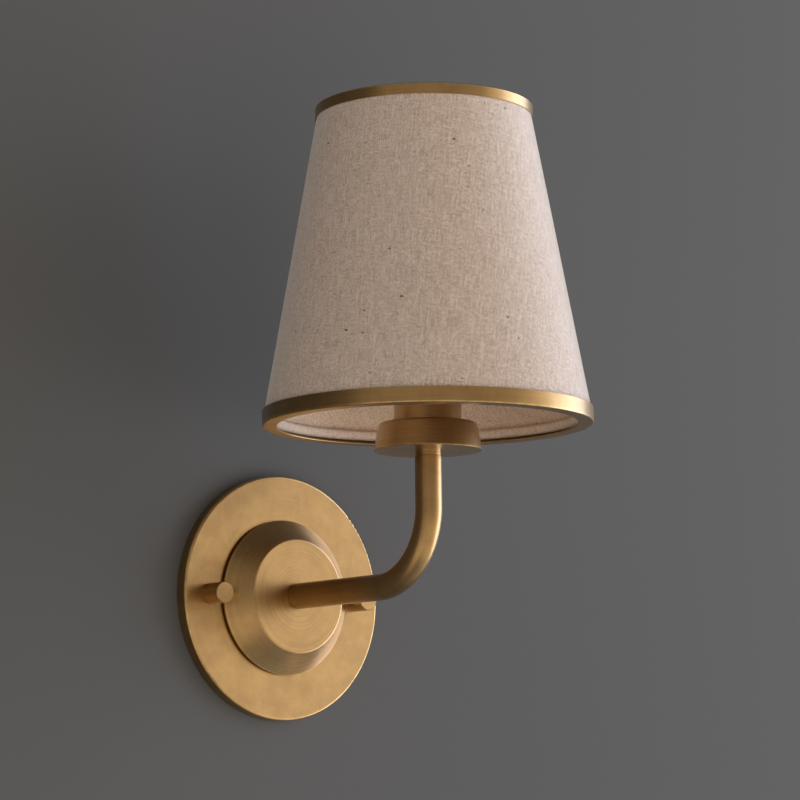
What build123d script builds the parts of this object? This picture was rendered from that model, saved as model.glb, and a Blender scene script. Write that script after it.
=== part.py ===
"""Fabric shade wall light: round backplate, bent brass arm and a tapered linen shade.

The origin is the middle of the backplate's back, on the wall. The wall is the plane y = 0, the light
stands out along -Y, and +Z is up. All sizes are millimetres.
"""

import os
from math import cos, pi, radians, sin

from build123d import *

# ---------------------------------------------------------------- driving dimensions

# backplate and hub
PLATE_RADIUS = 60.325  # a 4 3/4 inch plate
PLATE_DEPTH = 6.0
PLATE_WALL = 1.2
PLATE_EDGE = 1.1
HUB_FOOT_RADIUS = 38.1
HUB_FACE_RADIUS = 27.8
HUB_HEIGHT = 12.0
HUB_LIP = 1.0
HUB_WALL = 1.5
HUB_EDGE = 1.2
HUB_SLOPE_WALL = 1.8  # level thickness of the sloping wall
HUB_FLANGE = 3.0
SHADOW_GAP = 0.9
SHADOW_DEPTH = 1.0
HUB_FLANGE_WIDTH = 5.0
WIRING_HOLE_RADIUS = 29.0
HUB_SCREW_CIRCLE = 34.0
HUB_SCREW_RADIUS = 1.5
HUB_SCREW_HEAD_RADIUS = 2.7
HUB_SCREW_HEAD = 1.7
HUB_SCREW_COUNT = 3
HUB_SCREW_DOME = 0.7
CROSS_LENGTH = 3.0  # cross recess in a screw head
CROSS_WIDTH = 0.7
CROSS_DEPTH = 0.8

# mounting plate behind the backplate
MOUNT_RADIUS = 52.0
MOUNT_HOLE_RADIUS = 31.0
MOUNT_THICKNESS = 1.6
BOX_SPACING = 88.9  # screw spacing of a round wall box
BOX_SLOT_LENGTH = 9.0
BOX_SLOT_RADIUS = 2.2
STUD_SPACING = 90.0
STUD_RADIUS = 2.0
STUD_CLEARANCE = 0.3
STUD_REACH = 8.5  # how far a stud stands out of the backplate
STUD_CHAMFER = 0.5
LOCK_NUT_FLATS = 7.0
LOCK_NUT_THICKNESS = 2.2
EARTH_SCREW_ANGLE = 45.0
EARTH_SCREW_SLOT = 0.8  # width and depth

# cap nuts
CAP_NUT_RADIUS = 5.2
CAP_NUT_LENGTH = 12.0
CAP_NUT_BORE_RADIUS = 2.06
CAP_NUT_EDGE = 0.35
CAP_NUT_SPARE_BORE = 1.0  # bore beyond the stud's end

# arm
PROJECTION = 115.5  # from the wall to the middle of the shade
ARM_RADIUS = 6.35  # half-inch tube
ARM_WALL = 1.1
ARM_BEND = 36.0
NIPPLE_RADIUS = 4.9
NIPPLE_BORE_RADIUS = 3.3
NIPPLE_GRIP = 8.0  # length of nipple inside the tube
WASHER_RADIUS = 8.0
WASHER_THICKNESS = 0.8
WASHER_SPLIT = 0.6
LUG_THICKNESS = 0.8
LUG_DROP = 3.0
LUG_BARREL_WALL = 0.7
LUG_BARREL = 3.0
NUT_FLATS = 14.0
NUT_THICKNESS = 3.0
NIPPLE_END = 0.5

# fitter cup, husk and lampholder
CUP_BOTTOM = 61.5
CUP_HEIGHT = 13.0
CUP_BOTTOM_RADIUS = 25.4
CUP_TOP_RADIUS = 23.2
CUP_NECK = 2.3  # height of the neck between the arm and the cup
CUP_NECK_RADIUS = 6.1
CUP_WALL = 1.8
CUP_FLOOR = 2.0
CUP_SHOULDER = 1.6
CUP_LIP_EDGE = 0.3
HUSK_RADIUS = 15.875  # 1 1/4 inch
HUSK_WALL = 0.9
HUSK_HEIGHT = 40.0
HOLDER_BASE_RADIUS = 13.6
HOLDER_BASE_HEIGHT = 15.0
HOLDER_FOOT_RADIUS = 8.4
HOLDER_BASE_WALL = 1.5
HOLDER_BASE_FLOOR = 4.0
HOLDER_FLOOR_GRIP = 4.0  # length of the lamp nipple inside the lampholder
SKIRT_RADIUS = 14.0
SKIRT_WALL = 3.2
SKIRT_CHAMFER = 0.5
SKIRT_TOP_ABOVE_HUSK = 14.5
SHELL_RADIUS = 7.6
SHELL_WALL = 0.4
SHELL_LENGTH = 24.0
SHELL_BELOW_SKIRT = 1.0
SHELL_HOLE_RADIUS = 3.7
INSERT_BELOW_SHELL = 3.0
INSERT_LEAD_SPREAD = 4.0
CONTACT_RADIUS = 2.2
CONTACT_HEIGHT = 3.6
CONTACT_DOME = 0.8
RING_NUT_RADIUS = 18.4
RING_NUT_HEIGHT = 6.0
RING_NUT_GROOVES = 24
RING_NUT_GROOVE_RADIUS = 0.7
LOWER_RING_HEIGHT = 3.5
LOWER_RING_EDGE = 0.8
RING_CLEARANCE = 0.1
FITTER_RING_RADIUS = 20.5
FITTER_RING_THICKNESS = 1.5
FITTER_RING_HOLE = 14.4

# shade
SHADE_BOTTOM = 73.4
SHADE_HEIGHT = 152.4  # 6 inches
COVER_LOW_RADIUS = 76.7  # outside of the cover where it leaves the bottom ring
COVER_HIGH_RADIUS = 51.3  # outside of the cover where it meets the top ring
COVER_THICKNESS = 0.6
LINER_THICKNESS = 0.5
LINING_THICKNESS = 0.4
BOTTOM_BAND = 7.3
BOTTOM_BAND_RADIUS = 77.8
BOTTOM_BAND_WALL = 0.5
BOTTOM_BAND_EDGE = 0.9
BOTTOM_LIP_INNER = 70.8
LIP_THICKNESS = 0.8
TOP_BAND = 5.1
TOP_BAND_RADIUS = 51.9
TOP_BAND_WALL = 0.5
TOP_BAND_EDGE = 0.5
TOP_LIP_INNER = 47.2
COVER_LOW_INSET = 4.1  # the cover's lower edge above the shade's bottom
COVER_HIGH_INSET = 1.2
WIRE_RADIUS = 1.2
WIRE_CLEARANCE = 0.25
HEM_HEIGHT = 5.0
HEM_THICKNESS = 0.5
HEM_GAP = 2.2  # from the shade's bottom to the hem
ARM_COUNT = 3
ARM_ANGLE = 49.5

# bulb
BULB_RADIUS = 17.5
BULB_GLASS_LENGTH = 76.0
BULB_GLASS_WALL = 0.8
BULB_WIDEST = 0.42  # share of the glass's length
BULB_SHOULDER = (0.86, 0.24)  # shares of the radius and of the length
BULB_TAPER = (0.72, 0.76)
BULB_NECK_DIRECTION = (0.55, 1)
BULB_NECK_RADIUS = 9.5
BULB_CAP_RADIUS = 6.9
BULB_CAP_LENGTH = 22.5
THREAD_PITCH = 2.82
THREAD_HEIGHT = 0.6
BULB_TIP_RADIUS = 2.4
BULB_TIP_HEIGHT = 1.6
BULB_TIP_CLEARANCE = 0.05
BULB_COLLAR = 4.0

# wiring
LEAD_RADIUS = 1.2
LEAD_SPREAD = 1.4  # each lead's distance from the middle of the arm
LEAD_BEND = 5.6
LEAD_INTO_NIPPLE = 1.0
LEAD_ABOVE_FLOOR = 0.5
LEAD_BELOW_SPLIT = 6.0
LEAD_INTO_INSERT = 4.0
BLOCK_WIDTH = 21.0
BLOCK_HEIGHT = 12.0
BLOCK_DEPTH = 9.0
BLOCK_TOP = -13.0
BLOCK_BACK = 0.6
BLOCK_CORNER = 1.0
POLE_COUNT = 3
POLE_PITCH = 6.5
POLE_SCREW_RADIUS = 1.8
POLE_SCREW_CLEARANCE = 0.1
POLE_HOLE_DEPTH = 3.0
POLE_SCREW_HEIGHT = 1.5

# ---------------------------------------------------------------- places worked out from them

FRONT = Plane((0, 0, 0), x_dir=(1, 0, 0), z_dir=(0, 0, -1))  # local x outward, local y away from the wall
OUT_AXIS = Axis((0, 0, 0), (0, -1, 0))
LAMP = Plane.XZ.offset(PROJECTION)  # local x outward from the lamp's axis, local y up
LAMP_AXIS = Axis((0, -PROJECTION, 0), (0, 0, 1))

hub_face = PLATE_DEPTH + HUB_HEIGHT
neck_bottom = CUP_BOTTOM - CUP_NECK
cup_inside = CUP_BOTTOM + CUP_FLOOR
cup_top = CUP_BOTTOM + CUP_HEIGHT
husk_top = cup_inside + HUSK_HEIGHT
lower_ring_top = husk_top + LOWER_RING_HEIGHT
fitter_top = lower_ring_top + FITTER_RING_THICKNESS
skirt_top = husk_top + SKIRT_TOP_ABOVE_HUSK
shade_top = SHADE_BOTTOM + SHADE_HEIGHT
cover_low = SHADE_BOTTOM + COVER_LOW_INSET
cover_high = shade_top - COVER_HIGH_INSET
band_low = SHADE_BOTTOM + BOTTOM_BAND
band_high = shade_top - TOP_BAND
cover_slope = (COVER_LOW_RADIUS - COVER_HIGH_RADIUS) / (band_high - band_low)


def at_wall(distance):
    """A plane facing out of the wall, at this distance from it."""
    return Plane.XZ.offset(distance)


def at_height(height):
    """A plane facing up on the lamp's axis."""
    return Plane((0, -PROJECTION, height))


def cover_radius(height):
    """Radius of the outside of the shade's cover at a height."""
    return COVER_LOW_RADIUS - cover_slope * (height - band_low)


def outline(plane, *points):
    """A closed outline through the points, as a face on the plane."""
    with BuildSketch(plane) as sketch:
        with BuildLine():
            Polyline(*points, close=True)
        make_face()
    return sketch.sketch


def shade_layer(depth, thickness, low, high):
    """Section of one layer of the shade, lying at a depth under the cover's outside."""
    outer_low = cover_radius(low) - depth
    outer_high = cover_radius(high) - depth
    return outline(
        LAMP,
        (outer_low, low),
        (outer_high, high),
        (outer_high - thickness, high),
        (outer_low - thickness, low),
    )


def finish(builder, name):
    """Name a finished piece and write it to its own file."""
    builder.part.label = name
    export_step(builder.part, f"parts/{name}.step")


os.makedirs("parts", exist_ok=True)

# ---------------------------------------------------------------- mounting plate on the wall box

with BuildPart() as mounting_plate:
    with BuildSketch(at_wall(0)):
        Circle(MOUNT_RADIUS)
        Circle(MOUNT_HOLE_RADIUS, mode=Mode.SUBTRACT)
        with GridLocations(0, BOX_SPACING, 1, 2):
            SlotOverall(BOX_SLOT_LENGTH, 2 * BOX_SLOT_RADIUS, rotation=90, mode=Mode.SUBTRACT)
        with GridLocations(STUD_SPACING, 0, 2, 1):
            Circle(STUD_RADIUS, mode=Mode.SUBTRACT)
        with PolarLocations(STUD_SPACING / 2, 1, EARTH_SCREW_ANGLE):
            Circle(STUD_RADIUS, mode=Mode.SUBTRACT)
    extrude(amount=MOUNT_THICKNESS)
finish(mounting_plate, "mounting_plate")

with BuildPart() as fixture_studs:
    with BuildSketch(at_wall(0)):
        with GridLocations(STUD_SPACING, 0, 2, 1):
            Circle(STUD_RADIUS)
    extrude(amount=PLATE_DEPTH + STUD_REACH)
    chamfer(fixture_studs.edges().group_by(Axis.Y)[0], STUD_CHAMFER)
finish(fixture_studs, "fixture_studs")

with BuildPart() as stud_lock_nuts:
    with BuildSketch(at_wall(MOUNT_THICKNESS)):
        with GridLocations(STUD_SPACING, 0, 2, 1):
            RegularPolygon(LOCK_NUT_FLATS / 2, 6, major_radius=False)
            Circle(STUD_RADIUS, mode=Mode.SUBTRACT)
    extrude(amount=LOCK_NUT_THICKNESS)
finish(stud_lock_nuts, "stud_lock_nuts")

with BuildPart() as earth_screw:
    with BuildSketch(at_wall(0)):
        with PolarLocations(STUD_SPACING / 2, 1, EARTH_SCREW_ANGLE):
            Circle(STUD_RADIUS)
    extrude(amount=MOUNT_THICKNESS)
    with BuildSketch(at_wall(MOUNT_THICKNESS)):
        with PolarLocations(STUD_SPACING / 2, 1, EARTH_SCREW_ANGLE):
            RegularPolygon(LOCK_NUT_FLATS / 2, 6, major_radius=False)
    extrude(amount=LOCK_NUT_THICKNESS)
    with BuildSketch(at_wall(MOUNT_THICKNESS + LOCK_NUT_THICKNESS)):
        with PolarLocations(STUD_SPACING / 2, 1, EARTH_SCREW_ANGLE):
            Rectangle(2 * LOCK_NUT_FLATS, EARTH_SCREW_SLOT)
    extrude(amount=-EARTH_SCREW_SLOT, mode=Mode.SUBTRACT)
finish(earth_screw, "mount_earth_screw")

# ---------------------------------------------------------------- backplate and hub

with BuildPart() as backplate:
    with BuildSketch(at_wall(0)):
        Circle(PLATE_RADIUS)
    extrude(amount=PLATE_DEPTH)
    fillet(backplate.faces().sort_by(Axis.Y)[0].edges(), PLATE_EDGE)
    with BuildSketch(at_wall(0)):
        Circle(PLATE_RADIUS - PLATE_WALL)
    extrude(amount=PLATE_DEPTH - PLATE_WALL, mode=Mode.SUBTRACT)
    with BuildSketch(at_wall(PLATE_DEPTH)):
        Circle(WIRING_HOLE_RADIUS)
        with GridLocations(STUD_SPACING, 0, 2, 1):
            Circle(STUD_RADIUS + STUD_CLEARANCE)
        with PolarLocations(HUB_SCREW_CIRCLE, HUB_SCREW_COUNT, start_angle=90):
            Circle(HUB_SCREW_RADIUS)
    extrude(amount=-2 * PLATE_WALL, mode=Mode.SUBTRACT)
finish(backplate, "backplate")

hub_foot = PLATE_DEPTH
hub_lip_low = PLATE_DEPTH + SHADOW_GAP
hub_lip_high = hub_lip_low + HUB_LIP
with BuildPart() as hub:
    revolve(
        outline(
            FRONT,
            (0, hub_foot),
            (HUB_FOOT_RADIUS - SHADOW_DEPTH, hub_foot),
            (HUB_FOOT_RADIUS - SHADOW_DEPTH, hub_lip_low),
            (HUB_FOOT_RADIUS, hub_lip_low),
            (HUB_FOOT_RADIUS, hub_lip_high),
            (HUB_FACE_RADIUS, hub_face),
            (0, hub_face),
        ),
        axis=OUT_AXIS,
    )
    fillet(hub.faces().sort_by(Axis.Y)[0].edges(), HUB_EDGE)
    flange_top = hub_foot + HUB_FLANGE
    inner_foot = HUB_FOOT_RADIUS - HUB_WALL - SHADOW_DEPTH
    revolve(
        outline(
            FRONT,
            (0, hub_foot),
            (inner_foot - HUB_FLANGE_WIDTH, hub_foot),
            (inner_foot - HUB_FLANGE_WIDTH, flange_top),
            (inner_foot - HUB_SLOPE_WALL, flange_top),
            (HUB_FACE_RADIUS - HUB_SLOPE_WALL, hub_face - HUB_WALL),
            (0, hub_face - HUB_WALL),
        ),
        axis=OUT_AXIS,
        mode=Mode.SUBTRACT,
    )
    with BuildSketch(at_wall(hub_foot)):
        with PolarLocations(HUB_SCREW_CIRCLE, HUB_SCREW_COUNT, start_angle=90):
            Circle(HUB_SCREW_RADIUS)
    extrude(amount=HUB_FLANGE, mode=Mode.SUBTRACT)
    with BuildSketch(at_wall(hub_face)):
        Circle(NIPPLE_RADIUS)
    extrude(amount=-2 * HUB_WALL, mode=Mode.SUBTRACT)
finish(hub, "hub")

head_back = PLATE_DEPTH - PLATE_WALL - HUB_SCREW_HEAD
with BuildPart() as hub_screws:
    with BuildSketch(at_wall(head_back)):
        with PolarLocations(HUB_SCREW_CIRCLE, HUB_SCREW_COUNT, start_angle=90):
            Circle(HUB_SCREW_HEAD_RADIUS)
    extrude(amount=HUB_SCREW_HEAD)
    fillet(hub_screws.edges().group_by(Axis.Y)[-1], HUB_SCREW_DOME)
    with BuildSketch(at_wall(head_back)):
        with PolarLocations(HUB_SCREW_CIRCLE, HUB_SCREW_COUNT, start_angle=90):
            Circle(HUB_SCREW_RADIUS)
    extrude(amount=HUB_SCREW_HEAD + PLATE_WALL + HUB_FLANGE)
    with BuildSketch(at_wall(head_back)):
        with PolarLocations(HUB_SCREW_CIRCLE, HUB_SCREW_COUNT, start_angle=90):
            Rectangle(CROSS_LENGTH, CROSS_WIDTH)
            Rectangle(CROSS_WIDTH, CROSS_LENGTH)
    extrude(amount=CROSS_DEPTH, mode=Mode.SUBTRACT)
finish(hub_screws, "hub_screws")


def cap_nut(side):
    """A plain round cap nut, blind at the front, on the stud at one side of the hub."""
    with BuildPart() as nut:
        with BuildSketch(at_wall(PLATE_DEPTH)):
            with Locations((side * STUD_SPACING / 2, 0)):
                Circle(CAP_NUT_RADIUS)
        extrude(amount=CAP_NUT_LENGTH)
        chamfer(nut.faces().sort_by(Axis.Y)[0].edges(), CAP_NUT_EDGE)
        with BuildSketch(at_wall(PLATE_DEPTH)):
            with Locations((side * STUD_SPACING / 2, 0)):
                Circle(CAP_NUT_BORE_RADIUS)
        extrude(amount=STUD_REACH + CAP_NUT_SPARE_BORE, mode=Mode.SUBTRACT)
    return nut


finish(cap_nut(-1), "cap_nut_left")
finish(cap_nut(1), "cap_nut_right")

# ---------------------------------------------------------------- arm


def arm_path():
    """Middle line of the arm: straight out of the hub, one bend, straight up to the cup's neck."""
    with BuildLine() as path:
        FilletPolyline(
            (0, -hub_face, 0),
            (0, -PROJECTION, 0),
            (0, -PROJECTION, neck_bottom),
            radius=ARM_BEND,
        )
    return path.line


with BuildPart() as arm_tube:
    with BuildSketch(at_wall(hub_face)):
        Circle(ARM_RADIUS)
        Circle(ARM_RADIUS - ARM_WALL, mode=Mode.SUBTRACT)
    sweep(path=arm_path())
finish(arm_tube, "arm_tube")

arm_inside = hub_face - HUB_WALL
nut_front = arm_inside - WASHER_THICKNESS - LUG_THICKNESS
nipple_low = nut_front - NUT_THICKNESS - NIPPLE_END
with BuildPart() as arm_nipple:
    with BuildSketch(at_wall(nipple_low)):
        Circle(NIPPLE_RADIUS)
        Circle(NIPPLE_BORE_RADIUS, mode=Mode.SUBTRACT)
    extrude(amount=hub_face + NIPPLE_GRIP - nipple_low)
finish(arm_nipple, "arm_nipple")

with BuildPart() as arm_lock_washer:
    with BuildSketch(at_wall(arm_inside)):
        Circle(WASHER_RADIUS)
        Circle(NIPPLE_RADIUS, mode=Mode.SUBTRACT)
        with Locations((0, WASHER_RADIUS)):
            Rectangle(WASHER_SPLIT, 2 * (WASHER_RADIUS - NIPPLE_RADIUS) + WASHER_SPLIT, mode=Mode.SUBTRACT)
    extrude(amount=-WASHER_THICKNESS)
finish(arm_lock_washer, "arm_lock_washer")

with BuildPart() as arm_nut:
    with BuildSketch(at_wall(nut_front)):
        RegularPolygon(NUT_FLATS / 2, 6, major_radius=False)
        Circle(NIPPLE_RADIUS, mode=Mode.SUBTRACT)
    extrude(amount=-NUT_THICKNESS)
finish(arm_nut, "arm_nut")

# ---------------------------------------------------------------- cup, husk and lampholder

with BuildPart() as fitter_cup:
    revolve(
        outline(
            LAMP,
            (0, CUP_BOTTOM),
            (CUP_BOTTOM_RADIUS, CUP_BOTTOM),
            (CUP_TOP_RADIUS, cup_top),
            (0, cup_top),
        ),
        axis=LAMP_AXIS,
    )
    fillet(fitter_cup.faces().sort_by(Axis.Z)[-1].edges(), CUP_SHOULDER)
    chamfer(fitter_cup.faces().sort_by(Axis.Z)[0].edges(), CUP_LIP_EDGE)
    with BuildSketch(at_height(cup_inside)):
        Circle(CUP_TOP_RADIUS - CUP_WALL)
    extrude(amount=CUP_HEIGHT, mode=Mode.SUBTRACT)
    with BuildSketch(at_height(CUP_BOTTOM)):
        Circle(CUP_NECK_RADIUS)
    extrude(amount=-CUP_NECK)
    with BuildSketch(at_height(neck_bottom)):
        Circle(NIPPLE_RADIUS)
    extrude(amount=CUP_NECK + CUP_FLOOR, mode=Mode.SUBTRACT)
finish(fitter_cup, "fitter_cup")

holder_low = cup_inside + HUSK_WALL + WASHER_THICKNESS
with BuildPart() as lamp_nipple:
    with BuildSketch(at_height(neck_bottom - NIPPLE_GRIP)):
        Circle(NIPPLE_RADIUS)
        Circle(NIPPLE_BORE_RADIUS, mode=Mode.SUBTRACT)
    extrude(amount=NIPPLE_GRIP + CUP_NECK + CUP_FLOOR + HUSK_WALL + WASHER_THICKNESS + HOLDER_FLOOR_GRIP)
finish(lamp_nipple, "lamp_nipple")

with BuildPart() as socket_husk:
    with BuildSketch(at_height(cup_inside)):
        Circle(HUSK_RADIUS)
    extrude(amount=HUSK_HEIGHT)
    with BuildSketch(at_height(cup_inside + HUSK_WALL)):
        Circle(HUSK_RADIUS - HUSK_WALL)
    extrude(amount=HUSK_HEIGHT, mode=Mode.SUBTRACT)
    with BuildSketch(at_height(cup_inside)):
        Circle(NIPPLE_RADIUS)
    extrude(amount=HUSK_WALL, mode=Mode.SUBTRACT)
finish(socket_husk, "socket_husk")

with BuildPart() as lamp_lock_washer:
    with BuildSketch(at_height(cup_inside + HUSK_WALL)):
        Circle(WASHER_RADIUS)
        Circle(NIPPLE_RADIUS, mode=Mode.SUBTRACT)
        with Locations((0, WASHER_RADIUS)):
            Rectangle(WASHER_SPLIT, 2 * (WASHER_RADIUS - NIPPLE_RADIUS) + WASHER_SPLIT, mode=Mode.SUBTRACT)
    extrude(amount=WASHER_THICKNESS)
finish(lamp_lock_washer, "lamp_lock_washer")

holder_split = holder_low + HOLDER_BASE_HEIGHT
holder_shoulder = holder_low + HOLDER_BASE_HEIGHT / 2
holder_floor = holder_low + HOLDER_BASE_FLOOR
with BuildPart() as holder_base:
    revolve(
        outline(
            LAMP,
            (NIPPLE_RADIUS, holder_low),
            (HOLDER_FOOT_RADIUS, holder_low),
            (HOLDER_BASE_RADIUS, holder_shoulder),
            (HOLDER_BASE_RADIUS, holder_split),
            (HOLDER_BASE_RADIUS - HOLDER_BASE_WALL, holder_split),
            (HOLDER_BASE_RADIUS - HOLDER_BASE_WALL, holder_shoulder + HOLDER_BASE_WALL / 2),
            (HOLDER_FOOT_RADIUS, holder_floor),
            (NIPPLE_RADIUS, holder_floor),
        ),
        axis=LAMP_AXIS,
    )
finish(holder_base, "lampholder_base")

shell_low = skirt_top - SHELL_LENGTH
insert_floor = shell_low - INSERT_BELOW_SHELL
shell_top = skirt_top - SHELL_BELOW_SKIRT
with BuildPart() as holder_insert:
    with BuildSketch(at_height(holder_split)):
        Circle(SKIRT_RADIUS - SKIRT_WALL)
        with GridLocations(2 * INSERT_LEAD_SPREAD, 0, 2, 1):
            Circle(LEAD_RADIUS, mode=Mode.SUBTRACT)
    extrude(amount=insert_floor - holder_split)
finish(holder_insert, "lampholder_insert")

with BuildPart() as holder_skirt:
    with BuildSketch(at_height(holder_split)):
        Circle(SKIRT_RADIUS)
        Circle(SKIRT_RADIUS - SKIRT_WALL, mode=Mode.SUBTRACT)
    extrude(amount=skirt_top - holder_split)
    chamfer(holder_skirt.edges().group_by(Axis.Z)[-1], SKIRT_CHAMFER)
finish(holder_skirt, "lampholder_skirt")

with BuildPart() as screw_shell:
    revolve(
        outline(
            LAMP,
            (SHELL_RADIUS, shell_top),
            (SHELL_RADIUS, insert_floor + SHELL_WALL),
            (SHELL_HOLE_RADIUS, insert_floor + SHELL_WALL),
            (SHELL_HOLE_RADIUS, insert_floor),
            (SHELL_RADIUS + SHELL_WALL, insert_floor),
            (SHELL_RADIUS + SHELL_WALL, shell_top),
        ),
        axis=LAMP_AXIS,
    )
finish(screw_shell, "lampholder_screw_shell")

with BuildPart() as centre_contact:
    with BuildSketch(at_height(insert_floor)):
        Circle(CONTACT_RADIUS)
    extrude(amount=CONTACT_HEIGHT)
    fillet(centre_contact.edges().group_by(Axis.Z)[-1], CONTACT_DOME)
finish(centre_contact, "lampholder_centre_contact")

with BuildPart() as lower_ring:
    with BuildSketch(at_height(husk_top)):
        Circle(RING_NUT_RADIUS)
        Circle(SKIRT_RADIUS, mode=Mode.SUBTRACT)
    extrude(amount=LOWER_RING_HEIGHT)
    top_edges = lower_ring.edges().filter_by(GeomType.CIRCLE).group_by(Axis.Z)[-1]
    fillet(top_edges.sort_by(SortBy.RADIUS)[-1], LOWER_RING_EDGE)
finish(lower_ring, "lower_shade_ring")

with BuildPart() as ring_nut:
    with BuildSketch(at_height(fitter_top)):
        Circle(RING_NUT_RADIUS)
        with PolarLocations(RING_NUT_RADIUS, RING_NUT_GROOVES):
            Circle(RING_NUT_GROOVE_RADIUS, mode=Mode.SUBTRACT)
        Circle(SKIRT_RADIUS + RING_CLEARANCE, mode=Mode.SUBTRACT)
    extrude(amount=RING_NUT_HEIGHT)
finish(ring_nut, "shade_ring_nut")

# ---------------------------------------------------------------- bulb

cap_low = insert_floor + CONTACT_HEIGHT + BULB_TIP_HEIGHT
glass_low = cap_low + BULB_CAP_LENGTH
glass_high = glass_low + BULB_GLASS_LENGTH


def on_glass(radius_share, length_share):
    """A point of the bulb's outline, from its shares of the widest radius and of the length."""
    return (radius_share * BULB_RADIUS, glass_low + length_share * BULB_GLASS_LENGTH)


with BuildPart() as bulb_glass:
    with BuildSketch(LAMP):
        with BuildLine():
            Spline(
                (BULB_NECK_RADIUS, glass_low + BULB_COLLAR),
                on_glass(*BULB_SHOULDER),
                on_glass(1, BULB_WIDEST),
                on_glass(*BULB_TAPER),
                (0, glass_high),
                tangents=(BULB_NECK_DIRECTION, (-1, 0)),
            )
            Line((0, glass_high), (0, glass_low + BULB_COLLAR))
            Line((0, glass_low + BULB_COLLAR), (BULB_NECK_RADIUS, glass_low + BULB_COLLAR))
        make_face()
    revolve(axis=LAMP_AXIS)
    offset(amount=-BULB_GLASS_WALL, openings=bulb_glass.faces().sort_by(Axis.Z)[0])
finish(bulb_glass, "bulb_glass")

with BuildPart() as bulb_collar:
    with BuildSketch(at_height(glass_low)):
        Circle(BULB_CAP_RADIUS)
    with BuildSketch(at_height(glass_low + BULB_COLLAR)):
        Circle(BULB_NECK_RADIUS)
    loft()
finish(bulb_collar, "bulb_collar")

thread_turns = int(BULB_CAP_LENGTH // THREAD_PITCH)
with BuildPart() as bulb_cap:
    with BuildSketch(at_height(cap_low)):
        Circle(BULB_CAP_RADIUS - THREAD_HEIGHT)
    extrude(amount=BULB_CAP_LENGTH)
    with BuildSketch(LAMP):
        for turn in range(1, thread_turns):
            with Locations((BULB_CAP_RADIUS - THREAD_HEIGHT, cap_low + turn * THREAD_PITCH)):
                Circle(THREAD_HEIGHT)
    revolve(axis=LAMP_AXIS)
finish(bulb_cap, "bulb_cap")

with BuildPart() as bulb_tip:
    with BuildSketch(at_height(cap_low)):
        Circle(BULB_TIP_RADIUS)
    extrude(amount=BULB_TIP_CLEARANCE - BULB_TIP_HEIGHT)
finish(bulb_tip, "bulb_tip")

# ---------------------------------------------------------------- shade

liner_depth = COVER_THICKNESS
lining_depth = liner_depth + LINER_THICKNESS
inside_depth = lining_depth + LINING_THICKNESS

with BuildPart() as shade_cover:
    revolve(shade_layer(0, COVER_THICKNESS, cover_low, cover_high), axis=LAMP_AXIS)
finish(shade_cover, "shade_linen_cover")

with BuildPart() as shade_liner:
    revolve(shade_layer(liner_depth, LINER_THICKNESS, cover_low, cover_high), axis=LAMP_AXIS)
finish(shade_liner, "shade_liner")

with BuildPart() as shade_lining:
    revolve(shade_layer(lining_depth, LINING_THICKNESS, cover_low, cover_high), axis=LAMP_AXIS)
finish(shade_lining, "shade_linen_lining")

low_wire_height = cover_low + WIRE_RADIUS
low_wire_circle = cover_radius(low_wire_height) - inside_depth - WIRE_RADIUS - WIRE_CLEARANCE
with BuildPart() as bottom_wire:
    with BuildSketch(LAMP):
        with Locations((low_wire_circle, low_wire_height)):
            Circle(WIRE_RADIUS)
    revolve(axis=LAMP_AXIS)
finish(bottom_wire, "shade_bottom_wire")

high_wire_height = cover_high - WIRE_RADIUS
high_wire_circle = cover_radius(high_wire_height) - inside_depth - WIRE_RADIUS - WIRE_CLEARANCE
with BuildPart() as top_wire:
    with BuildSketch(LAMP):
        with Locations((high_wire_circle, high_wire_height)):
            Circle(WIRE_RADIUS)
    revolve(axis=LAMP_AXIS)
finish(top_wire, "shade_top_wire")

with BuildPart() as bottom_ring:
    revolve(
        outline(
            LAMP,
            (BOTTOM_LIP_INNER, SHADE_BOTTOM),
            (BOTTOM_BAND_RADIUS, SHADE_BOTTOM),
            (BOTTOM_BAND_RADIUS, band_low),
            (BOTTOM_BAND_RADIUS - BOTTOM_BAND_WALL, band_low),
            (BOTTOM_BAND_RADIUS - BOTTOM_BAND_WALL, SHADE_BOTTOM + LIP_THICKNESS),
            (BOTTOM_LIP_INNER, SHADE_BOTTOM + LIP_THICKNESS),
        ),
        axis=LAMP_AXIS,
    )
    outer_edges = bottom_ring.edges().filter_by(GeomType.CIRCLE).sort_by(SortBy.RADIUS)[-2:]
    fillet(outer_edges.sort_by(Axis.Z)[0], BOTTOM_BAND_EDGE)
finish(bottom_ring, "shade_bottom_ring")

with BuildPart() as top_ring:
    revolve(
        outline(
            LAMP,
            (TOP_LIP_INNER, shade_top),
            (TOP_BAND_RADIUS, shade_top),
            (TOP_BAND_RADIUS, band_high),
            (TOP_BAND_RADIUS - TOP_BAND_WALL, band_high),
            (TOP_BAND_RADIUS - TOP_BAND_WALL, shade_top - LIP_THICKNESS),
            (TOP_LIP_INNER, shade_top - LIP_THICKNESS),
        ),
        axis=LAMP_AXIS,
    )
    outer_edges = top_ring.edges().filter_by(GeomType.CIRCLE).sort_by(SortBy.RADIUS)[-2:]
    fillet(outer_edges.sort_by(Axis.Z)[-1], TOP_BAND_EDGE)
finish(top_ring, "shade_top_ring")

with BuildPart() as fitter_ring:
    with BuildSketch(at_height(lower_ring_top)):
        Circle(FITTER_RING_RADIUS)
        Circle(FITTER_RING_HOLE, mode=Mode.SUBTRACT)
    extrude(amount=FITTER_RING_THICKNESS)
finish(fitter_ring, "shade_fitter_ring")

fitter_middle = lower_ring_top + FITTER_RING_THICKNESS / 2


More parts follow.
